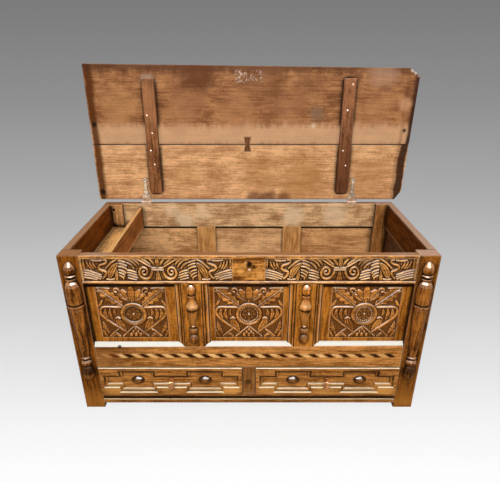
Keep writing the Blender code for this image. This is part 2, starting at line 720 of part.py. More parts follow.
# Split turnings: (radius, height from the top), both as shares of the whole turning
POST_TURNING = [
    (0.00, 0.000), (0.20, 0.004), (0.42, 0.016), (0.60, 0.034), (0.70, 0.054), (0.68, 0.074),
    (0.58, 0.088), (0.50, 0.092), (0.50, 0.095), (0.66, 0.098), (0.72, 0.103), (0.70, 0.110),
    (0.44, 0.114), (0.42, 0.124), (0.62, 0.127), (0.66, 0.133), (0.62, 0.139), (0.52, 0.143),
    (0.54, 0.150), (0.74, 0.164), (0.88, 0.186), (0.95, 0.220), (0.97, 0.270), (0.93, 0.318),
    (0.76, 0.324), (0.76, 0.332), (0.96, 0.336), (1.00, 0.346), (0.98, 0.357), (0.86, 0.362),
    (0.90, 0.372), (0.86, 0.440), (0.74, 0.580), (0.56, 0.740), (0.48, 0.780), (0.48, 0.784),
    (0.62, 0.788), (0.64, 0.793), (0.60, 0.799), (0.44, 0.803), (0.44, 0.812), (0.62, 0.818),
    (0.72, 0.830), (0.72, 0.846), (0.60, 0.856), (0.42, 0.862), (0.42, 0.868), (0.60, 0.884),
    (0.74, 0.916), (0.74, 0.948), (0.62, 0.978), (0.38, 0.995), (0.00, 1.000),
]
MUNTIN_TURNING = [
    (0.00, 0.000), (0.26, 0.006), (0.50, 0.028), (0.68, 0.060), (0.74, 0.092), (0.70, 0.128),
    (0.56, 0.154), (0.42, 0.162), (0.42, 0.170), (0.62, 0.176), (0.66, 0.190), (0.62, 0.204),
    (0.46, 0.210), (0.46, 0.222), (0.56, 0.262), (0.76, 0.312), (0.96, 0.344), (1.00, 0.360),
    (0.98, 0.388), (0.80, 0.394), (0.80, 0.406), (0.92, 0.410), (0.92, 0.440), (0.82, 0.448),
    (0.82, 0.460), (0.62, 0.560), (0.40, 0.650), (0.34, 0.668), (0.34, 0.676), (0.44, 0.682),
    (0.44, 0.696), (0.34, 0.702), (0.34, 0.716), (0.60, 0.722), (0.72, 0.746), (0.72, 0.780),
    (0.60, 0.804), (0.42, 0.812), (0.42, 0.828), (0.60, 0.846), (0.76, 0.886), (0.78, 0.930),
    (0.66, 0.972), (0.36, 0.996), (0.00, 1.000),
]


def split_turning(name, shares, x, top, length, radius):
    """Half a turned baluster, sawn down its middle and planted on the front."""
    mesh = bpy.data.meshes.new(name)
    points = [(radius * r, 0.0, -length * z) for r, z in shares]
    mesh.from_pydata(points, [(i, i + 1) for i in range(len(points) - 1)], [])
    mesh.materials.append(DARK_OAK)
    obj = bpy.data.objects.new(name, mesh)
    obj.location = (x, FRONT - GAP + SAW_KERF / 2, top)
    PARTS.objects.link(obj)
    screw = obj.modifiers.new("turned", "SCREW")
    screw.axis = "Z"
    screw.steps = screw.render_steps = TURNING_STEPS
    screw.use_merge_vertices = True
    screw.merge_threshold = 0.00001
    screw.use_smooth_shade = True
    size = 2 * radius
    sawn = box((x - size, FRONT - GAP, top - length - size), (x + size, FRONT + size, top + size))
    cut(obj, sawn)


for word, side in SIDES.items():
    split_turning(
        f"{word}_post_baluster", POST_TURNING, side * (HALF - POST_WIDTH / 2),
        TOP - POST_BALUSTER_DROP, POST_BALUSTER_LENGTH, POST_BALUSTER_RADIUS,
    )
    split_turning(
        f"{word}_muntin_baluster", MUNTIN_TURNING, side * FRONT_MUNTIN_X,
        FRIEZE_LOW - MUNTIN_BALUSTER_DROP, MUNTIN_BALUSTER_LENGTH, MUNTIN_BALUSTER_RADIUS,
    )

# Runners that carry the drawers
runner_z = (DRAWER_LOW - RUNNER_T, DRAWER_LOW)
for word, side in SIDES.items():
    runner_x = sorted((side * (INNER_X - GAP), side * (OPENING_HALF - SIDE_RUNNER_REACH)))
    part(f"{word}_drawer_runner", box(
        (runner_x[0], END_RAIL_SPAN[0], runner_z[0]), (runner_x[1], END_RAIL_SPAN[1], runner_z[1])
    ), DRY_OAK)
guide_half = DIVIDER_WIDTH / 2
runner_edge = [
    (CENTRE_RUNNER_WIDTH / 2, runner_z[0]), (CENTRE_RUNNER_WIDTH / 2, runner_z[1]),
    (guide_half, runner_z[1]), (guide_half, runner_z[1] + GUIDE_HEIGHT),
]
part("centre_drawer_runner", prism(
    mirrored(runner_edge, 0.0), "Y", RAIL_BACK + GAP, REAR_INNER_Y - GAP
), DRY_OAK)

# Drawers. Each is modelled about its slide: X at its middle, Y at the case front
OPENING_WIDTH = OPENING_HALF - DIVIDER_WIDTH / 2
DRAWER_X = OPENING_HALF - OPENING_WIDTH / 2
DRAWER_HALF = OPENING_WIDTH / 2 - RUN
DRAWER_HEIGHT = DRAWER_OPENING - GAP - RUN
BOSS_X = DRAWER_HALF * BOSS_SHARE
FIELD_Y = DRAWER_RELIEF - DRAWER_PROUD
FRONT_INSIDE_Y = DRAWER_FRONT_T - DRAWER_PROUD


def field_outline():
    """The sunk field between the raised blocks, anticlockwise: two squares on a long neck."""
    middle = DRAWER_HEIGHT / 2
    end = DRAWER_HALF - DRAWER_RIM
    inner = BOSS_X - DRAWER_SQUARE / 2 - DRAWER_MOULDING
    outer = BOSS_X + DRAWER_SQUARE / 2 + DRAWER_MOULDING
    neck = DRAWER_NECK / 2 + DRAWER_MOULDING
    tall = middle - DRAWER_RIM
    lower = [(-end, -neck), (-outer, -neck), (-outer, -tall), (-inner, -tall), (-inner, -neck)]
    lower += [(-x, z) for x, z in reversed(lower)]
    upper = [(x, -z) for x, z in reversed(lower)]
    return [(x, middle + z) for x, z in lower + upper]


def inset(outline, distance):
    """A square-cornered outline moved inwards, mitred at each corner."""
    moved = []
    for i, (x, z) in enumerate(outline):
        before, after = outline[i - 1], outline[(i + 1) % len(outline)]
        shift = Vector((0.0, 0.0))
        for start, end in ((before, (x, z)), ((x, z), after)):
            run = (Vector(end) - Vector(start)).normalized()
            shift += Vector((-run.y, run.x))
        moved.append((x + shift.x * distance, z + shift.y * distance))
    return moved


def drawer_moulding():
    """Section of the planted mouldings: bead, quirk, then an ovolo down to the field."""
    width, depth = DRAWER_MOULDING, DRAWER_RELIEF
    bead_end = (width * 0.24, depth * 0.10)
    quirk = (width * 0.30, depth * 0.38)
    step = (width * 0.40, depth * 0.34)
    return [(0.0, 0.0), bead_end, quirk, step, *quarter(step, (width, depth), 1, 4)]


def drawer_front_mesh():
    """A board whose face steps down from the raised blocks to the field."""
    face = -DRAWER_PROUD
    half, height = DRAWER_HALF, DRAWER_HEIGHT
    mesh_data = bmesh.new()

    def ring(points, y):
        return [mesh_data.verts.new((x, y, z)) for x, z in points]

    def bridge(first, second):
        for i in range(len(first)):
            j = (i + 1) % len(first)
            mesh_data.faces.new((first[i], first[j], second[j], second[i]))

    rim = [(-half, 0.0), (half, 0.0), (half, height), (-half, height)]
    back = ring(rim, FRONT_INSIDE_Y)
    edge = ring(rim, face + ARRIS)
    lip = ring(inset(rim, ARRIS), face)
    mesh_data.faces.new(back)
    bridge(back, edge)
    bridge(edge, lip)
    outline = field_outline()
    rings = [ring(inset(outline, across), face + down) for across, down in drawer_moulding()]
    for first, second in zip(rings, rings[1:]):
        bridge(first, second)
    mesh_data.faces.new(rings[-1])
    border = []
    for loop in (lip, rings[0]):
        for i in range(len(loop)):
            pair = (loop[i], loop[(i + 1) % len(loop)])
            border.append(mesh_data.edges.get(pair) or mesh_data.edges.new(pair))
    bmesh.ops.triangle_fill(mesh_data, use_beauty=True, use_dissolve=False, edges=border)
    return mesh_data


def drawer(word, side):
    slide = bpy.data.objects.new(f"{word}_drawer_slide", None)
    slide.location = (side * DRAWER_X, FRONT, DRAWER_LOW + GAP)
    PARTS.objects.link(slide)
    front = part(f"{word}_drawer_front", drawer_front_mesh(), POLISHED_OAK, slide)
    middle = DRAWER_HEIGHT / 2
    for x in (-BOSS_X, BOSS_X):
        join(front, egg(
            (x, FIELD_Y + GAP, middle), (BOSS_HALF_WIDTH, BOSS_PROUD, BOSS_HALF_HEIGHT)
        ))
    outside = DRAWER_HALF - DRAWER_SIDE_INSET
    inside = outside - DRAWER_SIDE_T
    near, far = FRONT_INSIDE_Y + GAP, DRAWER_DEPTH
    for hand, x in (("left", -outside), ("right", inside)):
        part(f"{word}_drawer_{hand}_side", box(
            (x, near, 0.0), (x + DRAWER_SIDE_T, far, DRAWER_SIDE_HEIGHT)
        ), DRY_OAK, slide)
    width = inside - GAP
    part(f"{word}_drawer_back", box(
        (-width, far - DRAWER_SIDE_T, 0.0), (width, far, DRAWER_SIDE_HEIGHT)
    ), DRY_OAK, slide)
    part(f"{word}_drawer_bottom", box(
        (-width, near, DRAWER_BOTTOM_RISE),
        (width, far - DRAWER_SIDE_T - GAP, DRAWER_BOTTOM_RISE + DRAWER_BOTTOM_T),
    ), DRY_OAK, slide)
    drop_handle(word, slide, Vector((0.0, 0.0, middle)))


# Drop handles: a pear drop swings on a staple that stands out of a small rose
DROP_Y = -DRAWER_PROUD - RUN - DROP_T / 2
DROP_PEAR = [
    (0.00, 0.00), (0.20, 0.01), (0.27, 0.08), (0.22, 0.20), (0.36, 0.27), (0.40, 0.32),
    (0.58, 0.42), (0.88, 0.58), (1.00, 0.72), (0.90, 0.86), (0.60, 0.96), (0.22, 0.99), (0.00, 1.00),
]


def drop_handle(word, slide, centre):
    pivot = centre + Vector((0.0, DROP_Y, 0.0))
    mount = part(
        f"{word}_drop_mount",
        cylinder((0.0, FIELD_Y - GAP - ROSE_T / 2, centre.z), ROSE_RADIUS, ROSE_T, "Y", 20),
        BRASS, slide,
    )
    leg = FIELD_Y - GAP - ROSE_T / 2 - DROP_Y
    arm = STAPLE_WIDTH / 2
    for x in (-arm, arm):
        join(mount, cylinder((x, DROP_Y + leg / 2, centre.z), STAPLE_RADIUS, leg, "Y", 10))
    reach = STAPLE_WIDTH + 2 * STAPLE_RADIUS
    join(mount, cylinder((0.0, DROP_Y, centre.z), STAPLE_RADIUS * 1.02, reach, "X", 10))
    swing = bpy.data.objects.new(f"{word}_drop_swing", None)
    swing.location = pivot
    swing.parent = slide
    PARTS.objects.link(swing)
    mesh = bpy.data.meshes.new(f"{word}_drop")
    flat = DROP_T / DROP_WIDTH
    points = [
        (DROP_WIDTH / 2 * r, 0.0, DROP_EYE_RADIUS - DROP_LENGTH * z) for r, z in DROP_PEAR
    ]
    mesh.from_pydata(points, [(i, i + 1) for i in range(len(points) - 1)], [])
    mesh.materials.append(BRASS)
    drop = bpy.data.objects.new(f"{word}_drop", mesh)
    drop.parent = swing
    drop.scale = (1.0, flat, 1.0)
    PARTS.objects.link(drop)
    screw = drop.modifiers.new("turned", "SCREW")
    screw.axis = "Z"
    screw.steps = screw.render_steps = 16
    screw.use_merge_vertices = True
    screw.merge_threshold = 0.00001
    screw.use_smooth_shade = True
    eye = cylinder((0, 0, 0), DROP_EYE_RADIUS, STAPLE_WIDTH - 4 * STAPLE_RADIUS, "X", 14)
    bmesh.ops.scale(eye, vec=(1.0, 1.0 / flat, 1.0), verts=eye.verts)
    join(drop, eye)
    bore = cylinder((0, 0, 0), DROP_BORE_RADIUS, 2 * STAPLE_WIDTH, "X", 14)
    bmesh.ops.scale(bore, vec=(1.0, 1.0 / flat, 1.0), verts=bore.verts)
    cut(drop, bore)
    for helper in (drop.modifiers[1].object, drop.modifiers[2].object):
        helper.scale = drop.scale


for word, side in SIDES.items():
    drawer(word, side)

# Lid, modelled shut about its hinge axis and swung open
lid_hinge = bpy.data.objects.new("lid_hinge", None)
lid_hinge.location = (0.0, HINGE_Y, HINGE_Z)
lid_hinge.rotation_euler = (-OPEN, 0.0, 0.0)
PARTS.objects.link(lid_hinge)

lid_half = LID_WIDTH / 2
lid_rear = -HINGE_EDGE
lid_seam = lid_rear - LID_REAR_BOARD
lid_front = lid_rear - LID_LENGTH
taper_per_metre = LID_TAPER / LID_WIDTH


def lid_right(y):
    """The slanted right end of the lid, at a place along its depth."""
    return lid_half + LID_RIGHT_EXTRA + LID_FLARE * (lid_rear - y) / LID_LENGTH


def lid_board(name, outline):
    board = part(name, prism(outline, "Z", LID_LOW, LID_LOW + LID_T), DRY_OAK, lid_hinge)
    bevel = board.modifiers.new("worn_edges", "BEVEL")
    bevel.width = LID_EDGE
    bevel.segments = 2
    bevel.limit_method = "ANGLE"
    bevel.angle_limit = math.radians(60)
    return board


seam_rear, seam_front = lid_seam + LID_SEAM / 2, lid_seam - LID_SEAM / 2
rear_chip = lid_rear - REAR_CHIP_Y
front_chip = lid_front + LID_TAPER + FRONT_CHIP_Y
front_chip_x = lid_right(front_chip) - FRONT_CHIP_X
lid_rear_board = lid_board("lid_rear_board", [
    (-lid_half, seam_rear), (lid_right(seam_rear), seam_rear),
    (lid_right(rear_chip), rear_chip), (lid_right(rear_chip) - REAR_CHIP_X, lid_rear),
    (-lid_half, lid_rear),
])
lid_front_board = lid_board("lid_front_board", [
    (-lid_half, lid_front),
    (front_chip_x, lid_front + (front_chip_x + lid_half) * taper_per_metre),
    (lid_right(front_chip), front_chip),
    (lid_right(seam_front), seam_front), (-lid_half, seam_front),
])


def bow_tie(grow):
    """Butterfly key: wide at both ends and narrow at the seam."""
    edge = [
        (KEY_WIDTH / 2 + grow, lid_seam - KEY_LENGTH / 2 - grow),
        (KEY_WAIST / 2 + grow, lid_seam),
        (KEY_WIDTH / 2 + grow, lid_seam + KEY_LENGTH / 2 + grow),
    ]
    return mirrored(edge, KEY_X)


part("butterfly_key", prism(bow_tie(0.0), "Z", LID_LOW, LID_LOW + KEY_T), DARK_OAK, lid_hinge)
for board in (lid_rear_board, lid_front_board):
    cut(board, prism(bow_tie(GAP), "Z", LID_LOW - KEY_T, LID_LOW + KEY_T + GAP))

batten_front = lid_front + BATTEN_FRONT
for word, side in SIDES.items():
    x = side * BATTEN_X
    part(f"{word}_lid_batten", box(
        (x - BATTEN_WIDTH / 2, batten_front, LID_LOW - GAP - BATTEN_T),
        (x + BATTEN_WIDTH / 2, -BATTEN_REAR, LID_LOW - GAP),
        2 * ARRIS,
    ), DARK_OAK, lid_hinge)

# Lid hinges: a leaf let into the back rail, and a tapered strap under the lid
plate = (HINGE_PLATE_GAP / 2, HINGE_PLATE_GAP / 2 + HINGE_PLATE_T)
tab = KNUCKLE_RADIUS + RUN


def strap_outline(x):
    """From the knuckle out to the flare, in to the neck and round the finial."""
    knuckle = KNUCKLE_LENGTH / 2 - RUN / 2
    edge = [
        (knuckle, 0.0), (knuckle, -tab), (HINGE_WIDTH / 2, -tab),
        (HINGE_WIDTH / 2 * 0.92, -tab - STRAP_FLARE * 0.30),
        (STRAP_NECK * 0.85, -STRAP_FLARE), (STRAP_NECK / 2, -STRAP_FLARE * 1.3),
    ]
    tip = STRAP_LENGTH - STRAP_FINIAL_RADIUS
    start = math.asin(STRAP_NECK / 2 / STRAP_FINIAL_RADIUS)
    steps = 6
    for step in range(steps):
        turn = start + (math.pi - start) * step / steps
        edge.append((
            STRAP_FINIAL_RADIUS * math.sin(turn), -tip + STRAP_FINIAL_RADIUS * math.cos(turn)
        ))
    return mirrored(edge, x)


def hinge(word, x):
    strap = part(
        f"{word}_hinge_strap", prism(strap_outline(x), "Z", *plate), IRON, lid_hinge
    )
    join(strap, cylinder((x, 0, 0), KNUCKLE_RADIUS, KNUCKLE_LENGTH - RUN, "X", HINGE_SEGMENTS))
    bore = (PIN_RADIUS + PIN_PLAY) / math.cos(math.pi / HINGE_SEGMENTS)
    cut(strap, cylinder((x, 0, 0), bore, 2 * HINGE_WIDTH, "X", HINGE_SEGMENTS))
    base = (HINGE_Y, HINGE_Z)
    inner, outer = KNUCKLE_LENGTH / 2 + RUN / 2, HINGE_WIDTH / 2
    leaf_edge = [
        (inner, base[0]), (outer, base[0]), (outer, base[0] - LEAF_LENGTH),
    ]
    leaf_shape = [(x + a, b) for a, b in leaf_edge]
    leaf_shape += [(x - a, b) for a, b in reversed(leaf_edge)]
    leaf_shape += [(x - inner, base[0] - tab), (x + inner, base[0] - tab)]
    leaf = part(f"{word}_hinge_leaf", prism(
        leaf_shape, "Z", base[1] - plate[1], base[1] - plate[0]
    ), IRON)
    middle = (inner + outer) / 2
    for offset in (-middle, middle):
        knuckle = cylinder((x + offset, *base), KNUCKLE_RADIUS, outer - inner, "X", HINGE_SEGMENTS)
        join(leaf, knuckle)
    join(leaf, cylinder((x, *base), PIN_RADIUS, HINGE_WIDTH - RUN, "X", HINGE_SEGMENTS))
    recess = HINGE_WIDTH / 2 + GAP
    cut(back_top_rail, box(
        (x - recess, base[0] - 2 * LEAF_LENGTH, base[1] - plate[1] - GAP),
        (x + recess, base[0] + LEAF_LENGTH, TOP + LEAF_LENGTH),
    ))


for word, side in SIDES.items():
    hinge(word, side * HINGE_X)

# The lid reaches further to the right, so the whole moves left to stand on its middle
off_centre = (lid_right(front_chip) - lid_half) / 2
for obj in bpy.data.objects:
    if obj.parent is None:
        obj.location.x -= off_centre
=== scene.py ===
"""Look of the mule chest: carved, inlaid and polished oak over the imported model."""

import json
import math

import bmesh
import bpy
import numpy as np
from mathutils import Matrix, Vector


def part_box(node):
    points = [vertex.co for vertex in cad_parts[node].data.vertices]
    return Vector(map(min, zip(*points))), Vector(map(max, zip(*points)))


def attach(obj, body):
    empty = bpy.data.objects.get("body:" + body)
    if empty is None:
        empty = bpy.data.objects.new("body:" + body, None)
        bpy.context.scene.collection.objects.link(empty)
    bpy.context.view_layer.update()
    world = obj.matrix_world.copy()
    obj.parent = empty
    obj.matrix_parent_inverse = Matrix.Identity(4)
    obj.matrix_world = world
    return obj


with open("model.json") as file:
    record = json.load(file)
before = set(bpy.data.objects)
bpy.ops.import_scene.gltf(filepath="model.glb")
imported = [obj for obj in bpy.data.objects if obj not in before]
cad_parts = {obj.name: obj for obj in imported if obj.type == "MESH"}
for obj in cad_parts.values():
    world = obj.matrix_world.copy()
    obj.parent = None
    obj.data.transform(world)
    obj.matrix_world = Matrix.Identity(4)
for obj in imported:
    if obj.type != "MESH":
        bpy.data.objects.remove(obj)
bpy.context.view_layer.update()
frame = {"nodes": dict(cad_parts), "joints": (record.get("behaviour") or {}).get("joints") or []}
nodes = frame["nodes"]
scene = bpy.context.scene
scene.view_settings.view_transform = "Standard"


# Camera, at about chest height and looking down at the front of the case.
# Its pitch and lens were fitted to the corners of the case.
def middle_x(name):
    """The middle of a piece from side to side."""
    low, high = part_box(name)
    return (low.x + high.x) / 2


case_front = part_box("front_left_post")[0].y
case_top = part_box("front_left_post")[1].z
case_x = middle_x("frieze_rail")
camera_aside, camera_stand_off, camera_height = 0.0044, 1.3574, 1.3768
camera_pitch = math.radians(24.11)
photo_width, photo_height = 500, 482
focal_pixels = 426.0
camera = bpy.data.objects.new("camera", bpy.data.cameras.new("camera"))
camera.data.sensor_width = 36.0
camera.data.lens = focal_pixels / photo_width * camera.data.sensor_width
camera.location = (case_x + camera_aside, case_front - camera_stand_off, camera_height)
camera.rotation_euler = (math.pi / 2 - camera_pitch, 0.0, 0.0)
scene.collection.objects.link(camera)
scene.camera = camera


# Backdrop: one sweep of paper, pale underfoot and greyer up the wall, in one piece
# with the floor. It keeps a light shadow of the chest.
def linear(value):
    """One 8-bit colour channel as linear light."""
    value /= 255
    return value / 12.92 if value < 0.04045 else ((value + 0.055) / 1.055) ** 2.4


def node(tree, kind, settings=None, **values):
    """A shader node with its settings, and its inputs set or linked by name."""
    made = tree.nodes.new(kind)
    for key, value in (settings or {}).items():
        setattr(made, key, value)
    for key, value in values.items():
        socket = made.inputs[int(key[1:])] if key[1:].isdigit() else made.inputs[key.replace("_", " ")]
        if isinstance(value, bpy.types.NodeSocket):
            tree.links.new(value, socket)
        else:
            socket.default_value = value
    return made


def tree_of(*values):
    """The node tree of the first socket among the values."""
    return next(value.id_data for value in values if isinstance(value, bpy.types.NodeSocket))


def maths(operation, *values, clamp=False):
    """The result of one sum."""
    settings = {"operation": operation, "use_clamp": clamp}
    inputs = {f"i{i}": value for i, value in enumerate(values)}
    return node(tree_of(*values), "ShaderNodeMath", settings, **inputs).outputs[0]


def mix(amount, first, second, strength=None):
    """The first colour with the second over it, by an amount and its strength."""
    if strength is not None:
        amount = maths("MULTIPLY", amount, strength)
    tree = tree_of(amount, first, second)
    return node(tree, "ShaderNodeMix", {"data_type": "RGBA"}, i0=amount, i6=first, i7=second).outputs[2]


wall_start, sweep_radius, wall_top, paper_half, paper_front = 2.2, 0.9, 5.0, 12.0, -9.0
floor_step, sweep_steps, wall_steps = 0.1, 12, 20
floor_rows = int((wall_start - paper_front) / floor_step) + 1
profile = [(paper_front + floor_step * i, 0.0) for i in range(floor_rows)]
for i in range(1, sweep_steps + 1):
    turn = math.pi / 2 * i / sweep_steps
    profile.append((
        wall_start + sweep_radius * math.sin(turn), sweep_radius * (1 - math.cos(turn))
    ))
rise = (wall_top - sweep_radius) / wall_steps
profile += [(wall_start + sweep_radius, sweep_radius + rise * i) for i in range(1, wall_steps + 1)]
# The paper's greys by rows of the picture, from its top down.
grey_rows, greys = (0, 100, 200, 336, 420, 482), (125, 146, 176, 221, 243, 253)
nearest, steepest = 0.05, 1.2
paper_mesh = bmesh.new()
tint = paper_mesh.loops.layers.float_color.new("paper_tint")
rows = [[paper_mesh.verts.new((x, y, z)) for x in (-paper_half, paper_half)] for y, z in profile]
for low, high in zip(rows, rows[1:]):
    face = paper_mesh.faces.new((low[0], low[1], high[1], high[0]))
    for loop in face.loops:
        away = loop.vert.co.y - camera.location.y
        down = math.atan2(camera_height - loop.vert.co.z, max(away, nearest))
        row = photo_height / 2 + focal_pixels * math.tan(min(down - camera_pitch, steepest))
        grey = linear(float(np.interp(row, grey_rows, greys)))
        loop[tint] = (grey, grey, grey, 1.0)
paper = bpy.data.objects.new("backdrop", bpy.data.meshes.new("backdrop"))
paper_mesh.to_mesh(paper.data)
paper_mesh.free()
scene.collection.objects.link(paper)
paper_look = bpy.data.materials.new("backdrop_paper")
paper_look.use_nodes = True
tree = paper_look.node_tree
tree.nodes.clear()
glow_strength, glow_share, dimming = 1.11, 0.84, 0.45
tone = node(tree, "ShaderNodeAttribute", {"attribute_name": "paper_tint"}).outputs["Color"]
glow = node(tree, "ShaderNodeEmission", None, Color=tone, Strength=glow_strength)
dimmed = mix(dimming, tone, (0.0, 0.0, 0.0, 1.0))
matte = node(tree, "ShaderNodeBsdfDiffuse", None, Color=dimmed)
path = node(tree, "ShaderNodeLightPath").outputs
eye = maths("MAXIMUM", path["Is Camera Ray"], path["Is Glossy Ray"])
seen = maths("MULTIPLY", eye, glow_share)
blend = node(tree, "ShaderNodeMixShader", None, Fac=seen, i1=matte.outputs[0], i2=glow.outputs[0])
node(tree, "ShaderNodeOutputMaterial", None, Surface=blend.outputs[0])
paper.data.materials.append(paper_look)


# Lights: a wide soft box high over the camera, dim ones from above and from behind,
# a grey room, and two bright cards that only the waxed slopes mirror.
def soft_box(name, width, height, place, target, radiance, card=False):
    """A lamp that no camera sees, aimed at a target. A card shows in reflections alone."""
    data = bpy.data.lights.new(name, "AREA")
    data.shape = "RECTANGLE"
    data.size, data.size_y = width, height
    data.energy = radiance * math.pi * width * height
    lamp = bpy.data.objects.new(name, data)
    lamp.location = place
    aim = Vector(target) - Vector(place)
    lamp.rotation_euler = aim.to_track_quat("-Z", "Y").to_euler()
    lamp.visible_camera = False
    lamp.visible_diffuse = not card
    scene.collection.objects.link(lamp)


def ahead(rise, reach, height):
    """A point in front of the case, seen from its front at a rise and a reach."""
    rise = math.radians(rise)
    return (case_x, case_front - reach * math.cos(rise), height + reach * math.sin(rise))


# Each box has a width, a height, a place, a target and a radiance.
soft_box("key_box", 3.0, 0.5, ahead(50.0, 1.9, 0.45), ahead(0.0, 0.0, 0.45), 10.0)
soft_box("top_box", 2.4, 1.6, (case_x, 0.0, 3.0), (case_x, 0.0, 0.4), 1.0)
soft_box("rear_box", 3.4, 0.8, (case_x, 2.4, 1.9), (case_x, 0.0, 0.5), 3.0)
soft_box("wax_card", 3.0, 2.4, (case_x, -0.50, 2.6), (case_x, -0.50, 0.4), 24.0, True)
soft_box("front_card", 3.0, 1.3, ahead(48.0, 2.3, 0.30), ahead(0.0, 0.0, 0.30), 24.0, True)
world = bpy.data.worlds.new("room")
world.use_nodes = True
room = world.node_tree.nodes["Background"].inputs
room["Color"].default_value = (1.0, 0.98, 0.95, 1.0)
room["Strength"].default_value = 0.18
scene.world = world


# Posts: four oak uprights whose ends are the feet. Waxed brown oak, with painted shade
# where boards meet, and paler on the handled edges.
def rgb(red, green, blue):
    """An 8-bit colour as linear light."""
    return (linear(red), linear(green), linear(blue), 1.0)


def ramp(value, low, high, start=0.0, end=1.0):
    """value from low to high becomes start to end, held at both ends."""
    settings = {"interpolation_type": "SMOOTHSTEP"}
    names = ("Value", "From_Min", "From_Max", "To_Min", "To_Max")
    inputs = dict(zip(names, (value, low, high, start, end)))
    return node(value.id_data, "ShaderNodeMapRange", settings, **inputs).outputs[0]


def noise(vector, scale, detail=4.0, roughness=0.55):
    """Cloudy noise from 0 to 1."""
    inputs = {"Vector": vector, "Scale": scale, "Detail": detail, "Roughness": roughness}
    return node(vector.id_data, "ShaderNodeTexNoise", None, **inputs).outputs[0]


def vectors(operation, first, second=(0.0, 0.0, 0.0)):
    """The result of one sum of vectors."""
    made = node(first.id_data, "ShaderNodeVectorMath", {"operation": operation}, i0=first, i1=second)
    return made.outputs["Value" if operation in ("DISTANCE", "DOT_PRODUCT", "LENGTH") else 0]


def part(vector, axis):
    """A vector's X, Y or Z."""
    made = node(vector.id_data, "ShaderNodeSeparateXYZ", None, Vector=vector)
    return made.outputs["XYZ".index(axis)]


def new_group(name, inputs, outputs):
    """A shader node group with its inputs and outputs, each a label and a kind."""
    group = bpy.data.node_groups.new(name, "ShaderNodeTree")
    for way, sockets in (("INPUT", inputs), ("OUTPUT", outputs)):
        for label, kind in sockets.items():
            group.interface.new_socket(name=label, in_out=way, socket_type=f"NodeSocket{kind}")
    entry = group.nodes.new("NodeGroupInput")
    exit_node = group.nodes.new("NodeGroupOutput")
    return group, entry.outputs, exit_node.inputs


def placed(tree, group, **values):
    """What a node group puts out in a finish, with its own values."""
    return node(tree, "ShaderNodeGroup", {"node_tree": group}, **values).outputs


# Oak grain runs along the group's X: broad streaks, growth rings, fibres and pores.
oak_grain, given, made = new_group(
    "oak_grain",
    {
        "Vector": "Vector", "Light": "Color", "Dark": "Color",
        "Contrast": "Float", "Streak": "Float", "Mottle": "Float",
    },
    {"Color": "Color", "Height": "Float"},
)


def drawn_out(vector, along, across, scale, detail, roughness=0.55):
    """Noise that is drawn out along the grain."""
    return noise(vectors("MULTIPLY", vector, (along, across, across)), scale, detail, roughness)


ring_lean, ring_rate, ring_wander, ring_weight = (0.03, 0.8, 1.0), 420.0, 34.0, 0.05
across = vectors("DOT_PRODUCT", given["Vector"], ring_lean)
wander = maths("MULTIPLY", drawn_out(given["Vector"], 1.5, 8.0, 1.6, 3.0), ring_wander)
rings = maths("SINE", maths("MULTIPLY_ADD", across, ring_rate, wander))
streaks = drawn_out(given["Vector"], 2.0, 26.0, 3.0, 6.0, 0.62)
figure = drawn_out(given["Vector"], 5.0, 52.0, 3.0, 4.0, 0.6)
fibres = drawn_out(given["Vector"], 9.0, 230.0, 3.0, 3.0)
pores = ramp(drawn_out(given["Vector"], 22.0, 620.0, 1.0, 2.0), 0.56, 0.68)
mottle = drawn_out(given["Vector"], 0.6, 1.0, 17.0, 6.0, 0.62)
speckle = noise(given["Vector"], 110.0, 3.0, 0.6)
shade = maths("MULTIPLY", rings, ring_weight)
for pattern, weight in (
    (streaks, given["Streak"]), (figure, given["Streak"]), (fibres, 0.4), (speckle, 0.5),
    (mottle, given["Mottle"]),
):
    shade = maths("MULTIPLY_ADD", maths("SUBTRACT", pattern, 0.5), weight, shade)
shade = maths("MULTIPLY_ADD", shade, given["Contrast"], 0.5)
tone = mix(ramp(shade, 0.0, 1.0), given["Dark"], given["Light"])
pored = maths("MULTIPLY", pores, 0.35)
tone = mix(pored, tone, given["Dark"], given["Contrast"])
oak_grain.links.new(tone, made["Color"])
oak_grain.links.new(maths("MULTIPLY_ADD", pores, -0.6, fibres), made["Height"])

# Painted shade in corners, creases and recesses, where the surface is hemmed in, and wear that rubs the
# raised edges pale.
corner_shade_and_edge_wear, given, made = new_group(
    "corner_shade_and_edge_wear", {"Vector": "Vector", "Reach": "Float"}, {"Corner": "Float", "Edge": "Float"}
)
hollow = node(corner_shade_and_edge_wear, "ShaderNodeAmbientOcclusion", {"samples": 12}, Distance=given["Reach"])
raised = node(
    corner_shade_and_edge_wear, "ShaderNodeAmbientOcclusion", {"samples": 8, "inside": True},
    Distance=maths("MULTIPLY", given["Reach"], 0.22),
)
patchy = noise(given["Vector"], 38.0, 4.0)
corner = maths("SUBTRACT", 1.0, hollow.outputs["AO"])
corner = maths("MULTIPLY_ADD", corner, maths("MULTIPLY_ADD", patchy, 0.9, 0.75), -0.10)
corner_shade_and_edge_wear.links.new(ramp(corner, 0.0, 0.40), made["Corner"])
rubbed = maths("SUBTRACT", 1.0, raised.outputs["AO"])
rubbed = maths("MULTIPLY", rubbed, maths("MULTIPLY_ADD", patchy, 1.6, 0.1))
corner_shade_and_edge_wear.links.new(ramp(rubbed, 0.06, 0.38), made["Edge"])

# Near-black brown, used for grime and dark joints and for painted shade.
grime_and_shade = rgb(30, 13, 4)


def pale_for_wear_and_light(light):
    """The dry cream of an oak that is rubbed through its wax, used too for painted light on upward
    faces.
    """
    cream = rgb(236, 208, 172)
    return tuple(0.45 * min(1.0, 1.5 * a) + 0.55 * b for a, b in zip(rgb(*light), cream))


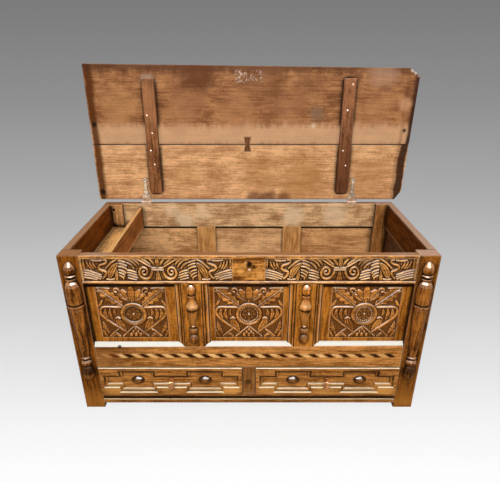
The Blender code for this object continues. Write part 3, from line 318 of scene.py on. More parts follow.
def oak(name, along, light, dark, contrast=1.5, reach=0.030, corner_shade=0.9, wear=0.3,
        roughness=0.42, coat=0.0, slope=0.0, top=None, streak=0.95, mottle=0.95, seed=0.0):
    """An oak finish: grain along one axis, with painted shade in its corners, and rubbed on its edges.

    slope puts painted light on what faces up and painted shade on what faces down, and top
    is the colour of a bare upper edge. Polish is kept on upward slopes, where cloths reach.
    """
    look = bpy.data.materials.new(name)
    look.use_nodes = True
    tree = look.node_tree
    shader = tree.nodes["Principled BSDF"]
    place = node(tree, "ShaderNodeTexCoord").outputs
    spot = place["Object"]
    facing = part(place["Normal"], "Z")
    turn = {"X": (0, 0, 0), "Y": (0, 0, -math.pi / 2), "Z": (0, math.pi / 2, 0)}[along]
    shift = (seed, seed * 0.7, seed * 1.3)
    laid = node(tree, "ShaderNodeMapping", None, Vector=spot, Rotation=turn, Location=shift)
    grain = placed(
        tree, oak_grain, Vector=laid.outputs[0], Light=rgb(*light), Dark=rgb(*dark),
        Contrast=contrast, Streak=streak, Mottle=mottle,
    )
    shade_and_wear = placed(tree, corner_shade_and_edge_wear, Vector=spot, Reach=reach)
    pale = pale_for_wear_and_light(light)
    tone = mix(shade_and_wear["Edge"], grain["Color"], pale, wear)
    # Painted light on faces that look up, painted shade on faces that look down.
    if slope:
        tone = mix(ramp(facing, 0.10, 0.55, 0.0, slope), tone, pale)
        tone = mix(ramp(facing, -0.55, -0.08, slope, 0.0), tone, grime_and_shade)
    if top:
        tone = mix(ramp(facing, 0.80, 0.95), tone, rgb(*top))
    # Painted shade in the corners.
    tone = mix(shade_and_wear["Corner"], tone, grime_and_shade, corner_shade)
    tree.links.new(tone, shader.inputs["Base Color"])
    rough = maths("MULTIPLY_ADD", grain["Height"], -0.2, roughness + 0.1, clamp=True)
    tree.links.new(rough, shader.inputs["Roughness"])
    ripple = node(tree, "ShaderNodeBump", None, Height=grain["Height"], Strength=0.2, Distance=0.0006)
    tree.links.new(ripple.outputs[0], shader.inputs["Normal"])
    shader.inputs["Specular IOR Level"].default_value = 0.02
    shader.inputs["Coat Roughness"].default_value = 0.16
    if coat:
        tree.links.new(ramp(facing, 0.10, 0.45, 0.0, coat), shader.inputs["Coat Weight"])
    return look


def opened(look):
    """The places and the facings on a finish's piece, and its colour so far."""
    tree = look.node_tree
    place = node(tree, "ShaderNodeTexCoord").outputs
    tone = tree.nodes["Principled BSDF"].inputs["Base Color"].links[0].from_socket
    return place["Object"], place["Normal"], tone


def coloured(look, tone):
    """The finish with a new colour."""
    tree = look.node_tree
    tree.links.new(tone, tree.nodes["Principled BSDF"].inputs["Base Color"])
    return look


def dress(node_name, look):
    """Gives a CAD node its finish."""
    obj = nodes[node_name]
    obj.data.materials.clear()
    obj.data.materials.append(look)


bare_top, dry_top = (146, 100, 62), (176, 140, 116)
floor_light, floor_light_height = rgb(210, 136, 56), 0.16
for i, (word, light, dark) in enumerate((
    ("front_left", (156, 90, 24), (64, 30, 3)), ("front_right", (166, 100, 34), (72, 37, 6)),
    ("back_left", (216, 162, 104), (140, 92, 46)), ("back_right", (190, 132, 72), (116, 70, 28)),
)):
    name = f"{word}_post"
    top = dry_top if "right" in word else bare_top
    look = oak(name, "Z", light, dark, corner_shade=1.0, top=top, seed=i * 1.7)
    spot, facing, tone = opened(look)
    # Painted light from the pale floor on the feet.
    floor_light_mask = ramp(part(spot, "Z"), 0.0, floor_light_height, 0.5, 0.0)
    tone = mix(floor_light_mask, tone, floor_light)
    # Painted shade on the sides of the front posts that face in.
    if "front" in word:
        inner = maths("MULTIPLY", part(facing, "X"), 1.0 if "left" in word else -1.0)
        tone = mix(ramp(inner, 0.5, 0.9, 0.0, 0.8), tone, grime_and_shade)
    dress(name, coloured(look, tone))


# Front rails: a carved frieze rail with a bead, a middle rail whose sill is painted
# near white as a painted reflection, and a moulded bottom rail. Tenoned into the posts.
def wavering(value, pattern, reach):
    """A value that a pattern moves to and fro over a reach."""
    return maths("MULTIPLY_ADD", maths("SUBTRACT", pattern, 0.5), reach, value)


def apart(value, at):
    """How far a value is from another, either way."""
    return maths("ABSOLUTE", maths("SUBTRACT", value, at))


# A stain is full near its place and ragged at its reach.
ragged_stain, given, made = new_group(
    "ragged_stain",
    {"Vector": "Vector", "Ragged": "Float", "Place": "Vector", "Reach": "Float", "Strength": "Float"},
    {"Stain": "Float"},
)
away = vectors("DISTANCE", given["Vector"], given["Place"])
away = wavering(away, given["Ragged"], given["Reach"])
full = maths("MULTIPLY", given["Reach"], 0.35)
stain = ramp(away, full, given["Reach"], given["Strength"], 0.0)
ragged_stain.links.new(stain, made["Stain"])

# A painted line: shade in a crease or gap, or a highlight along an arris.
painted_line, given, made = new_group(
    "painted_line",
    {"Value": "Float", "At": "Float", "Half Width": "Float", "Strength": "Float"},
    {"Line": "Float"},
)
full = maths("MULTIPLY", given["Half Width"], 0.5)
line = ramp(apart(given["Value"], given["At"]), full, given["Half Width"], given["Strength"], 0.0)
painted_line.links.new(line, made["Line"])


def blotched(look, marks, scale):
    """Stains on a finish, each with a place, a reach, a colour and a strength."""
    spot, _, tone = opened(look)
    ragged = noise(spot, scale, 4.0, 0.6)
    for place, reach, colour, strength in marks:
        mark = placed(
            look.node_tree, ragged_stain, Vector=spot, Ragged=ragged, Place=place, Reach=reach,
            Strength=strength,
        )
        tone = mix(mark["Stain"], tone, rgb(*colour))
    return coloured(look, tone)


def painted_lines(look, axis, places, half_width, strength, colour=grime_and_shade):
    """Painted lines of shade, or of highlight where a pale colour is given, on a finish at places along
    one axis.
    """
    spot, _, tone = opened(look)
    value = part(spot, axis)
    for at in places:
        cut = placed(
            look.node_tree, painted_line, Value=value, At=at, Half_Width=half_width, Strength=strength
        )
        tone = mix(cut["Line"], tone, colour)
    return coloured(look, tone)


frieze_rail_look = oak(
    "frieze_rail", "X", (224, 152, 70), (104, 56, 17), contrast=2.0, coat=0.2, slope=0.4, top=bare_top,
    mottle=1.7, seed=3.1,
)
# The keyhole, its stains and the rubbed wood round it, each across and below the top. The near-black
# mark is painted shade in the keyhole's mouth.
keyhole_marks = (
    (0.001, 0.036, 0.018, (52, 26, 8), 0.85), (0.018, 0.042, 0.010, (60, 30, 10), 0.75),
    (0.001, 0.035, 0.013, (6, 3, 2), 1.0), (0.002, 0.056, 0.007, (240, 214, 176), 0.8),
    (-0.030, 0.060, 0.016, (238, 172, 92), 0.6), (0.040, 0.078, 0.018, (238, 172, 92), 0.6),
    (0.002, 0.080, 0.014, (92, 48, 14), 0.5), (-0.012, 0.028, 0.008, (232, 176, 108), 0.6),
)
dress("frieze_rail", blotched(frieze_rail_look, [
    ((case_x + x, case_front, case_top - drop), reach, colour, strength)
    for x, drop, reach, colour, strength in keyhole_marks
], 60.0))
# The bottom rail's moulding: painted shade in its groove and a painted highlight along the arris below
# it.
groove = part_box("front_bottom_rail")[1].z - 0.0195
arris = groove - 0.0100
bottom_look = oak("front_bottom_rail", "X", (192, 128, 68), (112, 66, 28), corner_shade=0.5, seed=4.2)
bottom_look = painted_lines(bottom_look, "Z", (arris,), 0.0030, 0.85, rgb(244, 224, 184))
dress("front_bottom_rail", painted_lines(bottom_look, "Z", (groove,), 0.0080, 0.97))
sill_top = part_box("front_mid_rail")[1].z
sill_low = sill_top - 0.016
# The sill's chamfer is painted near white and made smoother there: a painted reflection of a bright
# light above the front.
sill_glare, sill_roughness, sill_fall = rgb(230, 228, 216), 0.30, -0.0037
dark_end = ((case_x - 0.55, case_front, 0.296), 0.13, (92, 50, 16), 0.6)
chip = (case_x - 0.508, case_front, sill_low)
mid_look = oak("front_mid_rail", "X", (228, 156, 82), (136, 80, 28), seed=5.3)
mid_look = blotched(mid_look, [dark_end], 30.0)
spot, _, tone = opened(mid_look)
level = maths("MULTIPLY_ADD", part(spot, "X"), sill_fall, part(spot, "Z"))
sill_glare_mask = ramp(level, sill_low + 0.0016, sill_low + 0.0028)
tone = mix(sill_glare_mask, tone, sill_glare)
tone = mix(ramp(vectors("DISTANCE", spot, chip), 0.006, 0.010, 0.85, 0.0), tone, grime_and_shade)
tree = mid_look.node_tree
rough = tree.nodes["Principled BSDF"].inputs["Roughness"]
smooth = node(tree, "ShaderNodeMix", None, i0=sill_glare_mask, i2=rough.links[0].from_socket, i3=sill_roughness)
tree.links.new(smooth.outputs[0], rough)
dress("front_mid_rail", coloured(mid_look, tone))

# Inlaid band: slanting lozenges of dark and pale wood, glued into the middle rail
# and planed almost level with it.
inlay_middle, inlay_period, inlay_lean = 0.2705, 0.0610, 0.024
inlay_start, inlay_margin, inlay_proud, inlay_sunk = 0.071, 0.02, 0.0003, 0.0005
opening_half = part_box("front_right_post")[0].x - case_x
faded_until, sound_from = case_x - 0.52, case_x - 0.44


def lozenge(mesh_data, x, half_width, half_height):
    """One slanting piece of the band."""
    lean = inlay_lean / 2
    corners = [
        (x - half_width - lean, half_height), (x + half_width - lean, half_height),
        (x + half_width + lean, -half_height), (x - half_width + lean, -half_height),
    ]
    face, back = [
        [mesh_data.verts.new((a, y, inlay_middle + b)) for a, b in corners]
        for y in (case_front - inlay_proud, case_front + inlay_sunk)
    ]
    mesh_data.faces.new(face)
    mesh_data.faces.new(list(reversed(back)))
    for i in range(4):
        j = (i + 1) % 4
        mesh_data.faces.new((face[j], face[i], back[i], back[j]))


def finish_piece(name, mesh_data, look, body, smooth=False):
    """A finished mesh that rides on a body."""
    bmesh.ops.recalc_face_normals(mesh_data, faces=mesh_data.faces)
    mesh = bpy.data.meshes.new(name)
    mesh_data.to_mesh(mesh)
    mesh_data.free()
    mesh.materials.append(look)
    if smooth:
        mesh.shade_smooth()
    obj = bpy.data.objects.new(name, mesh)
    scene.collection.objects.link(obj)
    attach(obj, body)


def faded(look, colour):
    """The band's left end has lost its contrast."""
    spot, _, tone = opened(look)
    patch = maths("MULTIPLY_ADD", noise(spot, 40.0), 0.08, part(spot, "X"))
    fade = ramp(patch, faded_until, sound_from, 0.75, 0.0)
    return coloured(look, mix(fade, tone, rgb(*colour)))


count = int((2 * opening_half - inlay_start - inlay_margin) / inlay_period) + 1
for word, shift, half_width, half_height, light, dark, worn, seed in (
    ("dark", 0.0, 0.0115, 0.0086, (74, 42, 20), (36, 17, 7), (140, 72, 30), 7.7),
    ("pale", inlay_period / 2, 0.0125, 0.0095, (255, 214, 146), (212, 152, 84), (176, 108, 50), 8.1),
):
    name = f"inlay_{word}"
    bits = bmesh.new()
    for i in range(count):
        x = case_x - opening_half + inlay_start + i * inlay_period
        lozenge(bits, x - shift, half_width, half_height)
    look = oak(name, "X", light, dark, wear=0.0, seed=seed)
    finish_piece(name, bits, faded(look, worn), "case")

# Carving: foliage left standing on a sunk ground of darker colour, cut from the frieze and
# from the panels. Each form is a stroke along a line, with its own section. Painted shade lies in its
# cuts and under its forms, and a painted highlight on their upper edges.
carve_step, carve_depth, carve_lift = 0.0016, 0.006, 0.00005
edge_highlight = rgb(246, 226, 192)


def new_field(half_width, half_height):
    """A flat field to carve: across, up, height, room to the nearest form, and painted shade in the
    sunk flower.
    """
    columns = int(2 * half_width / carve_step) + 1
    rows = int(2 * half_height / carve_step) + 1
    u, w = np.meshgrid(
        np.linspace(-half_width, half_width, columns), np.linspace(-half_height, half_height, rows)
    )
    flat = np.zeros_like(u)
    return {"u": u, "w": w, "h": flat, "near": flat + 1.0, "sunk_shade": flat.copy()}


def smooth_line(points, per_span=10):
    """A Catmull-Rom line through the points."""
    given = np.array([points[0], *points, points[-1]], float)
    line = []
    for a, b, c, d in zip(given, given[1:], given[2:], given[3:]):
        for t in np.arange(per_span) / per_span:
            line.append(0.5 * (
                2 * b + (c - a) * t + (2 * a - 5 * b + 4 * c - d) * t**2
                + (3 * b - a - 3 * c + d) * t**3
            ))
    return np.array([*line, given[-1]])


def lay(field, inside, moat, height):
    """Lays a form over what is there, with a cut line round it."""
    h = field["h"]
    h[moat & ~inside] *= 0.35
    h[inside] = height[inside]


def stroke(field, points, widths, top, kind="round", lobes=0, moat=0.0022):
    """A form along a line. points and widths are in millimetres."""
    line = smooth_line([(a / 1000, b / 1000) for a, b in points])
    u, w = field["u"], field["w"]
    best = np.full(u.shape, 1e9)
    along = np.zeros_like(u)
    side = np.zeros_like(u)
    for i, (start, end) in enumerate(zip(line, line[1:])):
        run = end - start
        length = max(run @ run, 1e-12)
        t = np.clip(((u - start[0]) * run[0] + (w - start[1]) * run[1]) / length, 0, 1)
        du, dw = u - start[0] - t * run[0], w - start[1] - t * run[1]
        far = np.hypot(du, dw)
        near = far < best
        best[near] = far[near]
        along[near] = (i + t[near]) / (len(line) - 1)
        side[near] = np.sign(run[0] * dw - run[1] * du)[near]
    half = np.interp(along, np.linspace(0, 1, len(widths)), np.array(widths) / 1000)
    q = best / np.maximum(half, 1e-5)
    if lobes:
        phase = along * lobes - 0.30 * q
        notch = 0.5 + 0.5 * np.cos(2 * np.pi * phase)
        half = half * (1 - 0.30 * notch)
        q = best / np.maximum(half, 1e-5)
    body = np.sqrt(np.clip(1 - q**2, 0, 1))
    if kind == "vein":
        body = body * (1 - 0.45 * np.exp(-((q / 0.22) ** 2)))
    if kind == "leaf":
        body = body**0.45 * (0.76 + 0.24 * np.cos(2 * np.pi * (along * lobes - 0.9 * q)))
    if kind == "ribbed":
        body = body**0.7 * (0.74 + 0.26 * np.cos(2 * np.pi * 1.6 * q * side))
    if kind == "plate":
        body = np.clip((1 - q) * 2.6, 0, 1) ** 0.7
    field["near"] = np.minimum(field["near"], best - half)
    lay(field, q < 1, best < half + moat, body * top / 1000)


def both(field, points, widths, top, kind="round", lobes=0):
    """A stroke and its mirror image."""
    stroke(field, points, widths, top, kind, lobes)
    stroke(field, [(-a, b) for a, b in points], widths, top, kind, lobes)


def blurred(values, reach):
    """values spread over reach steps each way."""
    weights = np.hanning(2 * reach + 3)[1:-1]
    weights /= weights.sum()
    for axis in (0, 1):
        values = np.apply_along_axis(
            lambda line: np.convolve(np.pad(line, reach, "edge"), weights, "valid"), axis, values
        )
    return values


def relief(name, field, centre, ground_y, look, echo):
    """The carved face as a mesh, standing forward of a ground with echoing gouge marks."""
    gouge_start, gouge_pitch, gouge_room, cut_depth = 0.0055, 0.0070, 0.0022, 0.0009
    gouged = echo * (0.5 + 0.5 * np.cos(2 * np.pi * (field["near"] - gouge_start) / gouge_pitch))
    gouged *= 0.7 + 0.3 * np.sin(field["u"] * 700 + np.sin(field["w"] * 500) * 2)
    height = np.where(field["near"] > gouge_room, np.maximum(field["h"], gouged), field["h"])
    rows, columns = field["u"].shape
    points = np.stack([
        field["u"] + centre[0], ground_y - height, field["w"] + centre[1]
    ], axis=-1).reshape(-1, 3)
    index = np.arange(rows * columns).reshape(rows, columns)
    faces = np.stack([index[:-1, :-1], index[:-1, 1:], index[1:, 1:], index[1:, :-1]], axis=-1)
    mesh = bpy.data.meshes.new(name)
    mesh.from_pydata(points.tolist(), [], faces.reshape(-1, 4).tolist())
    mesh.shade_smooth()
    # Masks from the carved face: painted shade in its hollows and under each form's lower edge, and a
    # painted highlight on its upper edges.
    rise = np.gradient(height, carve_step, axis=0)
    for label, values in (
        ("cut_shade", np.maximum((blurred(height, 3) - height) / cut_depth - 0.2, field["sunk_shade"])),
        ("upper_edge_highlight", (-rise - 0.9) / 1.1),
        ("under_edge_shade", (rise - 0.4) / 0.9),
    ):
        mask = mesh.attributes.new(label, "FLOAT", "POINT")
        mask.data.foreach_set("value", np.clip(values, 0, 1).ravel().astype(np.float32))
    mesh.materials.append(look)
    obj = bpy.data.objects.new(name, mesh)
    scene.collection.objects.link(obj)
    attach(obj, "case")


def carved_oak(name, ground_y, light, dark, ground, edges, coat, seed):
    """Waxed oak, darker in the sunk ground, with painted shade in each cut and under each form, and a
    painted highlight on its upper edges.
    """
    look = oak(
        name, "X", light, dark, reach=0.010, corner_shade=0.5, wear=0.1, roughness=0.34, coat=coat,
        mottle=1.6, seed=seed,
    )
    spot, _, tone = opened(look)
    raised = maths("SUBTRACT", ground_y, part(spot, "Y"))
    raised = maths("DIVIDE", raised, carve_depth)
    tone = mix(ramp(raised, 0.08, 0.50, 0.92, 0.0), tone, rgb(*ground))
    for label, strength, colour in (
        ("under_edge_shade", 0.75, grime_and_shade), ("cut_shade", 0.95, grime_and_shade), ("upper_edge_highlight", edges, edge_highlight),
    ):
        mask = node(look.node_tree, "ShaderNodeAttribute", {"attribute_name": label}).outputs["Fac"]
        tone = mix(mask, tone, colour, strength)
    return coloured(look, tone)


field_margin = 0.008
frieze_field_low, frieze_field_high = case_top - 0.101, case_top - 0.013
frieze_inner, frieze_outer = 0.060, opening_half - field_margin
frieze_half = (frieze_outer - frieze_inner) / 2
frieze_ground = case_front + carve_depth


def frieze_field():
    """Scrolls joined by a bar, with streaming strands and curled bodies to each end."""
    field = new_field(frieze_half, (frieze_field_high - frieze_field_low) / 2)
    for widths, top, kind, lines in (
        ((3, 5, 3), 4.8, "vein", [[(263, 38), (265, 16), (262, -2)]]),
        ((2.5, 4, 2.5), 4.8, "round", [
            [(252, 30), (247, 14), (238, 1)], [(241, 29), (237, 15), (230, 3)],
            [(230, 27), (227, 16), (221, 6)],
        ]),
        ((3, 3.6, 3), 5.0, "round", [
            [(268, -2), (240, -9), (207, -23)], [(268, -12), (238, -19), (206, -32)],
            [(268, -22), (238, -29), (210, -40)], [(268, -32), (246, -37), (224, -43)],
        ]),
        ((3, 4.5, 3), 5.6, "round", [[(236, 37), (216, 34), (198, 36)]]),
        ((2.5, 4, 2.5), 5.2, "round", [
            [(146, 36), (128, 34), (112, 27)], [(146, 24), (128, 22), (110, 14)],
            [(144, 11), (128, 10), (112, 3)],
        ]),
        ((3, 4.5, 4, 2.5), 5.2, "vein", [[(114, 40), (97, 36), (83, 24), (74, 11)]]),
        ((3, 4.5, 2.5), 5.2, "vein", [[(108, 26), (95, 17), (85, 3)], [(92, 43), (76, 34), (66, 20)]]),
        ((2.5, 4, 4, 3), 5.2, "round", [[(74, 43), (54, 31), (36, 18), (21, 9)]]),
        ((2.5, 4, 2.5), 5.0, "round", [[(54, 43), (40, 33), (25, 20)]]),
        ((2.5, 3.8, 2.5), 5.0, "round", [
            [(112, -2), (94, -6), (78, -13)], [(110, -13), (94, -17), (76, -24)],
            [(110, -24), (94, -28), (74, -35)],
        ]),
        ((2.5, 3.6, 2.5), 5.0, "round", [[(110, -35), (96, -39), (80, -43)]]),
        ((2.5, 3.6, 3.6, 2.5), 5.0, "round", [
            [(140, -2), (128, -6), (117, -13), (119, -20)],
            [(140, -13), (130, -17), (121, -24), (123, -31)],
            [(140, -25), (132, -29), (126, -35), (128, -42)],
        ]),
        ((4, 6, 5), 5.2, "vein", [[(149, -6), (150, -26), (152, -43)]]),
        ((3, 4, 3), 5.0, "round", [[(160, -40), (174, -42), (188, -40)]]),
        ((6, 12, 14, 8), 5.8, "ribbed", [[(145, 21), (157, 9), (168, -10), (176, -30)]]),
        ((3, 4, 4, 4.5, 5, 5, 5, 5, 5, 4.5, 3), 6.0, "round", [
            [(191, 38), (182, 37), (182, 27), (194, 20), (207, 15), (211, 5), (203, -4), (192, -7),
             (187, -15), (193, -28), (202, -38)],
        ]),
        ((3, 4.5, 3), 6.0, "round", [[(138, 43), (163, 27), (186, 4)]]),
        ((4, 4.5, 5, 5, 5, 4.5, 4.5, 4, 4, 3.5, 3.5, 3, 3, 3.5), 6.0, "round", [
            [(19, 2), (21, -13), (28, -29), (42, -39), (56, -36), (66, -22), (65, -4), (54, 8), (42, 4),
             (37, -8), (43, -20), (53, -20), (56, -10), (49, -6)],
        ]),
    ):
        for points in lines:
            both(field, points, widths, top, kind)
    stroke(field, [(-21, 6), (21, 6)], (3.2, 3.2), 5.8, "round")
    stroke(field, [(-21, -2), (21, -2)], (3.2, 3.2), 5.6, "round")
    both(field, [(5, 13), (16, 28), (27, 43)], (3, 5, 3), 5.0, "vein")
    stroke(field, [(0, 12), (0, 26), (0, 41)], (4, 9, 5), 5.6, "ribbed")
    stroke(field, [(0, -10), (0, -26), (0, -43)], (4, 8, 12), 5.2, "ribbed")
    return field


frieze_look = carved_oak(
    "frieze_carving", frieze_ground, (234, 168, 90), (154, 94, 36), (66, 33, 11), edges=0.40,
    coat=0.16, seed=9.3,
)
frieze_middle = (frieze_inner + frieze_outer) / 2
for word, side in (("left", -1), ("right", 1)):
    centre = (case_x + side * frieze_middle, (frieze_field_low + frieze_field_high) / 2)
    name = f"{word}_frieze_carving"
    relief(name, frieze_field(), centre, frieze_ground - carve_lift, frieze_look, 0.0020)

# Muntins and panels: moulded oak uprights part three oak panels that sit in grooves.
# Each panel is carved with a ringed rose, a blossom over it, long corner leaves, and
# looped stems with tulips.
muntin_quirk_shade, under_bead_shade = (0.0375, 0.0470, 0.0610), 0.004
# Painted shade in the quirks of each muntin's mouldings and under the frieze's bead at its top.
for word, seed in (("left", 11.0), ("right", 12.4)):
    name = f"front_{word}_muntin"
    middle, top = middle_x(name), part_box(name)[1].z
    places = [middle + side * offset for side in (-1, 1) for offset in muntin_quirk_shade]
    look = oak(name, "Z", (218, 138, 48), (108, 58, 12), wear=0.4, seed=seed)
    look = painted_lines(look, "X", places, 0.0028, 0.9)
    dress(name, painted_lines(look, "Z", (top - under_bead_shade,), 0.0045, 0.9))

panel_half_width, panel_half_height, rose_drop = 0.129, 0.113, 0.010


def rosette(field, rim, beads, count):
    """A flat band round a sunk flower with a button, and a rim or a row of beads inside it."""
    u, w = field["u"] * 1000, field["w"] * 1000
    far, turn = np.hypot(u, w), np.arctan2(w, u)
    cleared, outer, ring, ring_half = 53, 51, 44, 6.5
    bloom_inner, bloom_reach, bloom_edge, sunk_shade_reach, shallow = 11, 18, 30, 37, 3.2
    off_ring = np.abs(far - ring)
    lay(field, far < cleared, far < cleared, np.zeros_like(far))
    raised = np.clip((1 - off_ring / ring_half) * 2.6, 0, 1) ** 0.7 * 5.6
    lay(field, off_ring < ring_half, far < cleared, raised / 1000)
    petal = np.abs(np.cos(4 * turn)) ** 0.5
    bloom = 2.0 * petal * np.sin(np.clip((far - bloom_inner) / bloom_reach, 0, 1) * np.pi) ** 0.6
    lay(field, far < bloom_edge, far < bloom_edge + 2, bloom / 1000)
    for place, half in ((rim, 1.8), (beads, 3.8)):
        if place:
            off = np.abs(far - place)
            edge = np.sqrt(np.clip(1 - (off / half) ** 2, 0, 1)) * 5.4
            if place == beads:
                edge = edge * (0.66 + 0.34 * np.cos(count * turn))
            lay(field, off < half, off < half + 1.5, edge / 1000)
    for place, half, top in ((10.5, 2.0, 2.6), (0.0, 5.5, 5.8)):
        off = np.abs(far - place)
        knob = np.sqrt(np.clip(1 - (off / half) ** 2, 0, 1)) * top
        lay(field, off < half, far < half + place + 1.5, knob / 1000)
    field["near"] = np.minimum(field["near"], (far - outer) / 1000)
    # Painted shade over the low parts inside the ring.
    field["sunk_shade"] = np.where((far < sunk_shade_reach) & (field["h"] < shallow / 1000), 0.40, 0.0)


def panel_field(rim, beads, count):
    """The panel's carving, drawn about the rose, which stands below the middle."""
    field = new_field(panel_half_width, panel_half_height)
    field["w"] = field["w"] + rose_drop
    for points, widths, top, *kind in (
        ([(128, 38), (120, 48), (113, 60)], (4, 7, 3), 4.6),
        ([(34, 100), (46, 86), (56, 72)], (3, 8, 3), 4.4, "vein"),
        ([(36, 38), (62, 60), (92, 86), (124, 112)], (5, 22, 27, 9), 5.4, "leaf", 5),
        ([(36, 38), (62, 60), (92, 86), (124, 112)], (3, 2.8, 2.6, 2.4), 6.0),
        ([(78, 114), (102, 116), (127, 116)], (3, 4.5, 3), 5.8),
        ([(42, 103), (50, 113), (61, 111), (62, 101), (54, 98)], (4, 4, 4, 4, 3), 5.2),
        ([(106, 20), (109, 2), (100, -16)], (3, 7.5, 3), 5.0, "vein"),
        ([(88, 22), (91, 2), (84, -22)], (3, 7.5, 3), 5.0, "vein"),
        ([(70, 22), (73, 8), (68, -6)], (2, 6, 2), 4.4, "vein"),
        ([(121, -36), (117, -60), (104, -86)], (4, 10, 5), 4.8, "leaf", 4),
        ([(127, -72), (122, -86), (114, -101)], (3, 6, 3), 4.6, "vein"),
        ([(62, -101), (78, -90), (94, -101)], (4, 7, 4), 4.8, "plate"),
        ([(62, -18), (60, -36), (52, -54), (42, -68)], (7, 14, 16, 8), 5.4, "ribbed"),
        ([(53, -19), (62, -15), (71, -20)], (3, 4.5, 3), 6.0),
        ([(100, -100), (80, -81), (56, -62)], (4, 4.5, 4), 5.4),
        ([(44, 31), (80, 32), (112, 31), (124, 20), (124, 2), (110, -18), (84, -44), (52, -68),
          (30, -88)],
         (4.5, 4.5, 5, 5.5, 5.5, 5.5, 5, 5, 4), 6.0),
        ([(50, -101), (26, -78), (3, -56)], (3.5, 3.5, 3), 5.6),
    ):
        both(field, points, widths, top, *kind)
    for points, widths, moat in (
        ([(4, 64), (22, 76), (40, 83)], (9, 17, 9), 1.6),
        ([(3, 66), (18, 86), (31, 102)], (9, 15, 9), 0.4),
    ):
        for side in (-1, 1):
            mirrored = [(side * a, b) for a, b in points]
            stroke(field, mirrored, widths, 5.6, "plate", 0, moat / 1000)
    stroke(field, [(0, 62), (0, 92), (0, 118)], (11, 16, 9), 6.0, "plate", 0, 0.0004)
    stroke(field, [(0, 50), (0, 66)], (3, 4), 6.0, "round")
    for x, w in ((0, -70), (-9, -82), (9, -82), (0, -94), (-18, -94), (18, -94)):
        stroke(field, [(x, w - 3), (x, w + 3)], (6, 6), 5.0, "round")
    rosette(field, rim, beads, count)
    field["w"] = field["w"] - rose_drop
    return field


panel_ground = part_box("front_left_panel")[0].y + carve_depth
panel_look = carved_oak(
    "panel_carving", panel_ground, (224, 148, 68), (140, 82, 28), (104, 58, 20), edges=0.6,
    coat=0.20, seed=14.6,
)
top_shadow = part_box("frieze_rail")[0].z - 0.0155
for word, rim, beads, count in (("left", 36, 0, 0), ("middle", 0, 34, 24), ("right", 37, 30, 22)):
    name = f"front_{word}_panel"
    low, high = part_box(name)
    look = oak(name, "Z", (206, 130, 46), (116, 62, 12), reach=0.045, seed=15.0 + low.x)
    look = painted_lines(look, "Z", (top_shadow,), 0.0085, 0.95)
    # On the middle and right panels the sill's painted reflection runs on as a white line.
    if word != "left":
        look = painted_lines(look, "Z", (sill_top,), 0.0042, 0.95, sill_glare)
    dress(name, look)
    middle = (middle_x(name), (low.z + high.z) / 2)
    name = f"{word}_panel_carving"
    relief(name, panel_field(rim, beads, count), middle, panel_ground - carve_lift, panel_look, 0.0016)


# Split turnings: dark polished half balusters planted on the posts and muntins.
# The acorns at their feet are darker over their upper halves, with less coat there.
def band(value, rise, full, fade, end):
    """A mask that is one from full to fade."""
    return maths("MULTIPLY", ramp(value, rise, full), ramp(value, fade, end, 1.0, 0.0))


def waxed(mask, gain):
    """More or less wax where the mask is."""
    tree = mask.id_data
    coat = tree.nodes["Principled BSDF"].inputs["Coat Weight"]
    change = maths("MULTIPLY_ADD", mask, gain, 1.0)
    tree.links.new(maths("MULTIPLY", coat.links[0].from_socket, change), coat)


turning_light, turning_dark = (164, 102, 41), (60, 29, 8)
acorn_limits = (0.024, 0.040, 0.073, 0.078)
for i, (word, warm) in enumerate((
    ("left_post", 1.13), ("right_post", 1.13), ("left_muntin", 1.25), ("right_muntin", 1.40)
)):
    name = f"{word}_baluster"
    light, dark = [tuple(warm * c for c in colour) for colour in (turning_light, turning_dark)]
    look = oak(
        name, "Z", light, dark, reach=0.018, corner_shade=1.0, wear=0.5,
        roughness=0.30, coat=0.8, slope=0.40, seed=17 + i,
    )
    spot, _, tone = opened(look)
    height = part(spot, "Z")
    low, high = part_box(name)
    if "muntin" in word:
        share = maths("DIVIDE", maths("SUBTRACT", height, low.z), high.z - low.z)
        # A painted highlight on the belly and on the vase, and painted shade in the ring between them.
        for limits, colour, strength in (
            ((0.62, 0.65, 0.71, 0.75), rgb(236, 178, 104), 0.28),
            ((0.30, 0.36, 0.52, 0.57), rgb(206, 140, 66), 0.5),
            ((0.57, 0.585, 0.61, 0.625), grime_and_shade, 0.75),
        ):
            tone = mix(band(share, *limits), tone, colour, strength)
        # The muntin balusters are darker towards their feet.
        tone = mix(ramp(share, 0.12, 0.28, 0.35, 0.0), tone, grime_and_shade)
    acorn = band(height, *(low.z + limit for limit in acorn_limits))
    tone = mix(acorn, tone, grime_and_shade, 0.8 if "post" in word else 0.3)
    waxed(acorn, -0.9)
    dress(name, coloured(look, tone))


# Ends, back, floor and till: plainer oak, dry inside where no wax reaches. Boards and
# panels stand in grooves of the posts and rails, and the till's wall stands on its floor.
def dry(name, along, light, dark, contrast=0.8, reach=0.04, corner_shade=0.6, wear=0.2, **values):
    """Dresses a node in oak that no wax reaches."""
    dress(name, oak(name, along, light, dark, contrast, reach, corner_shade, wear, **values))


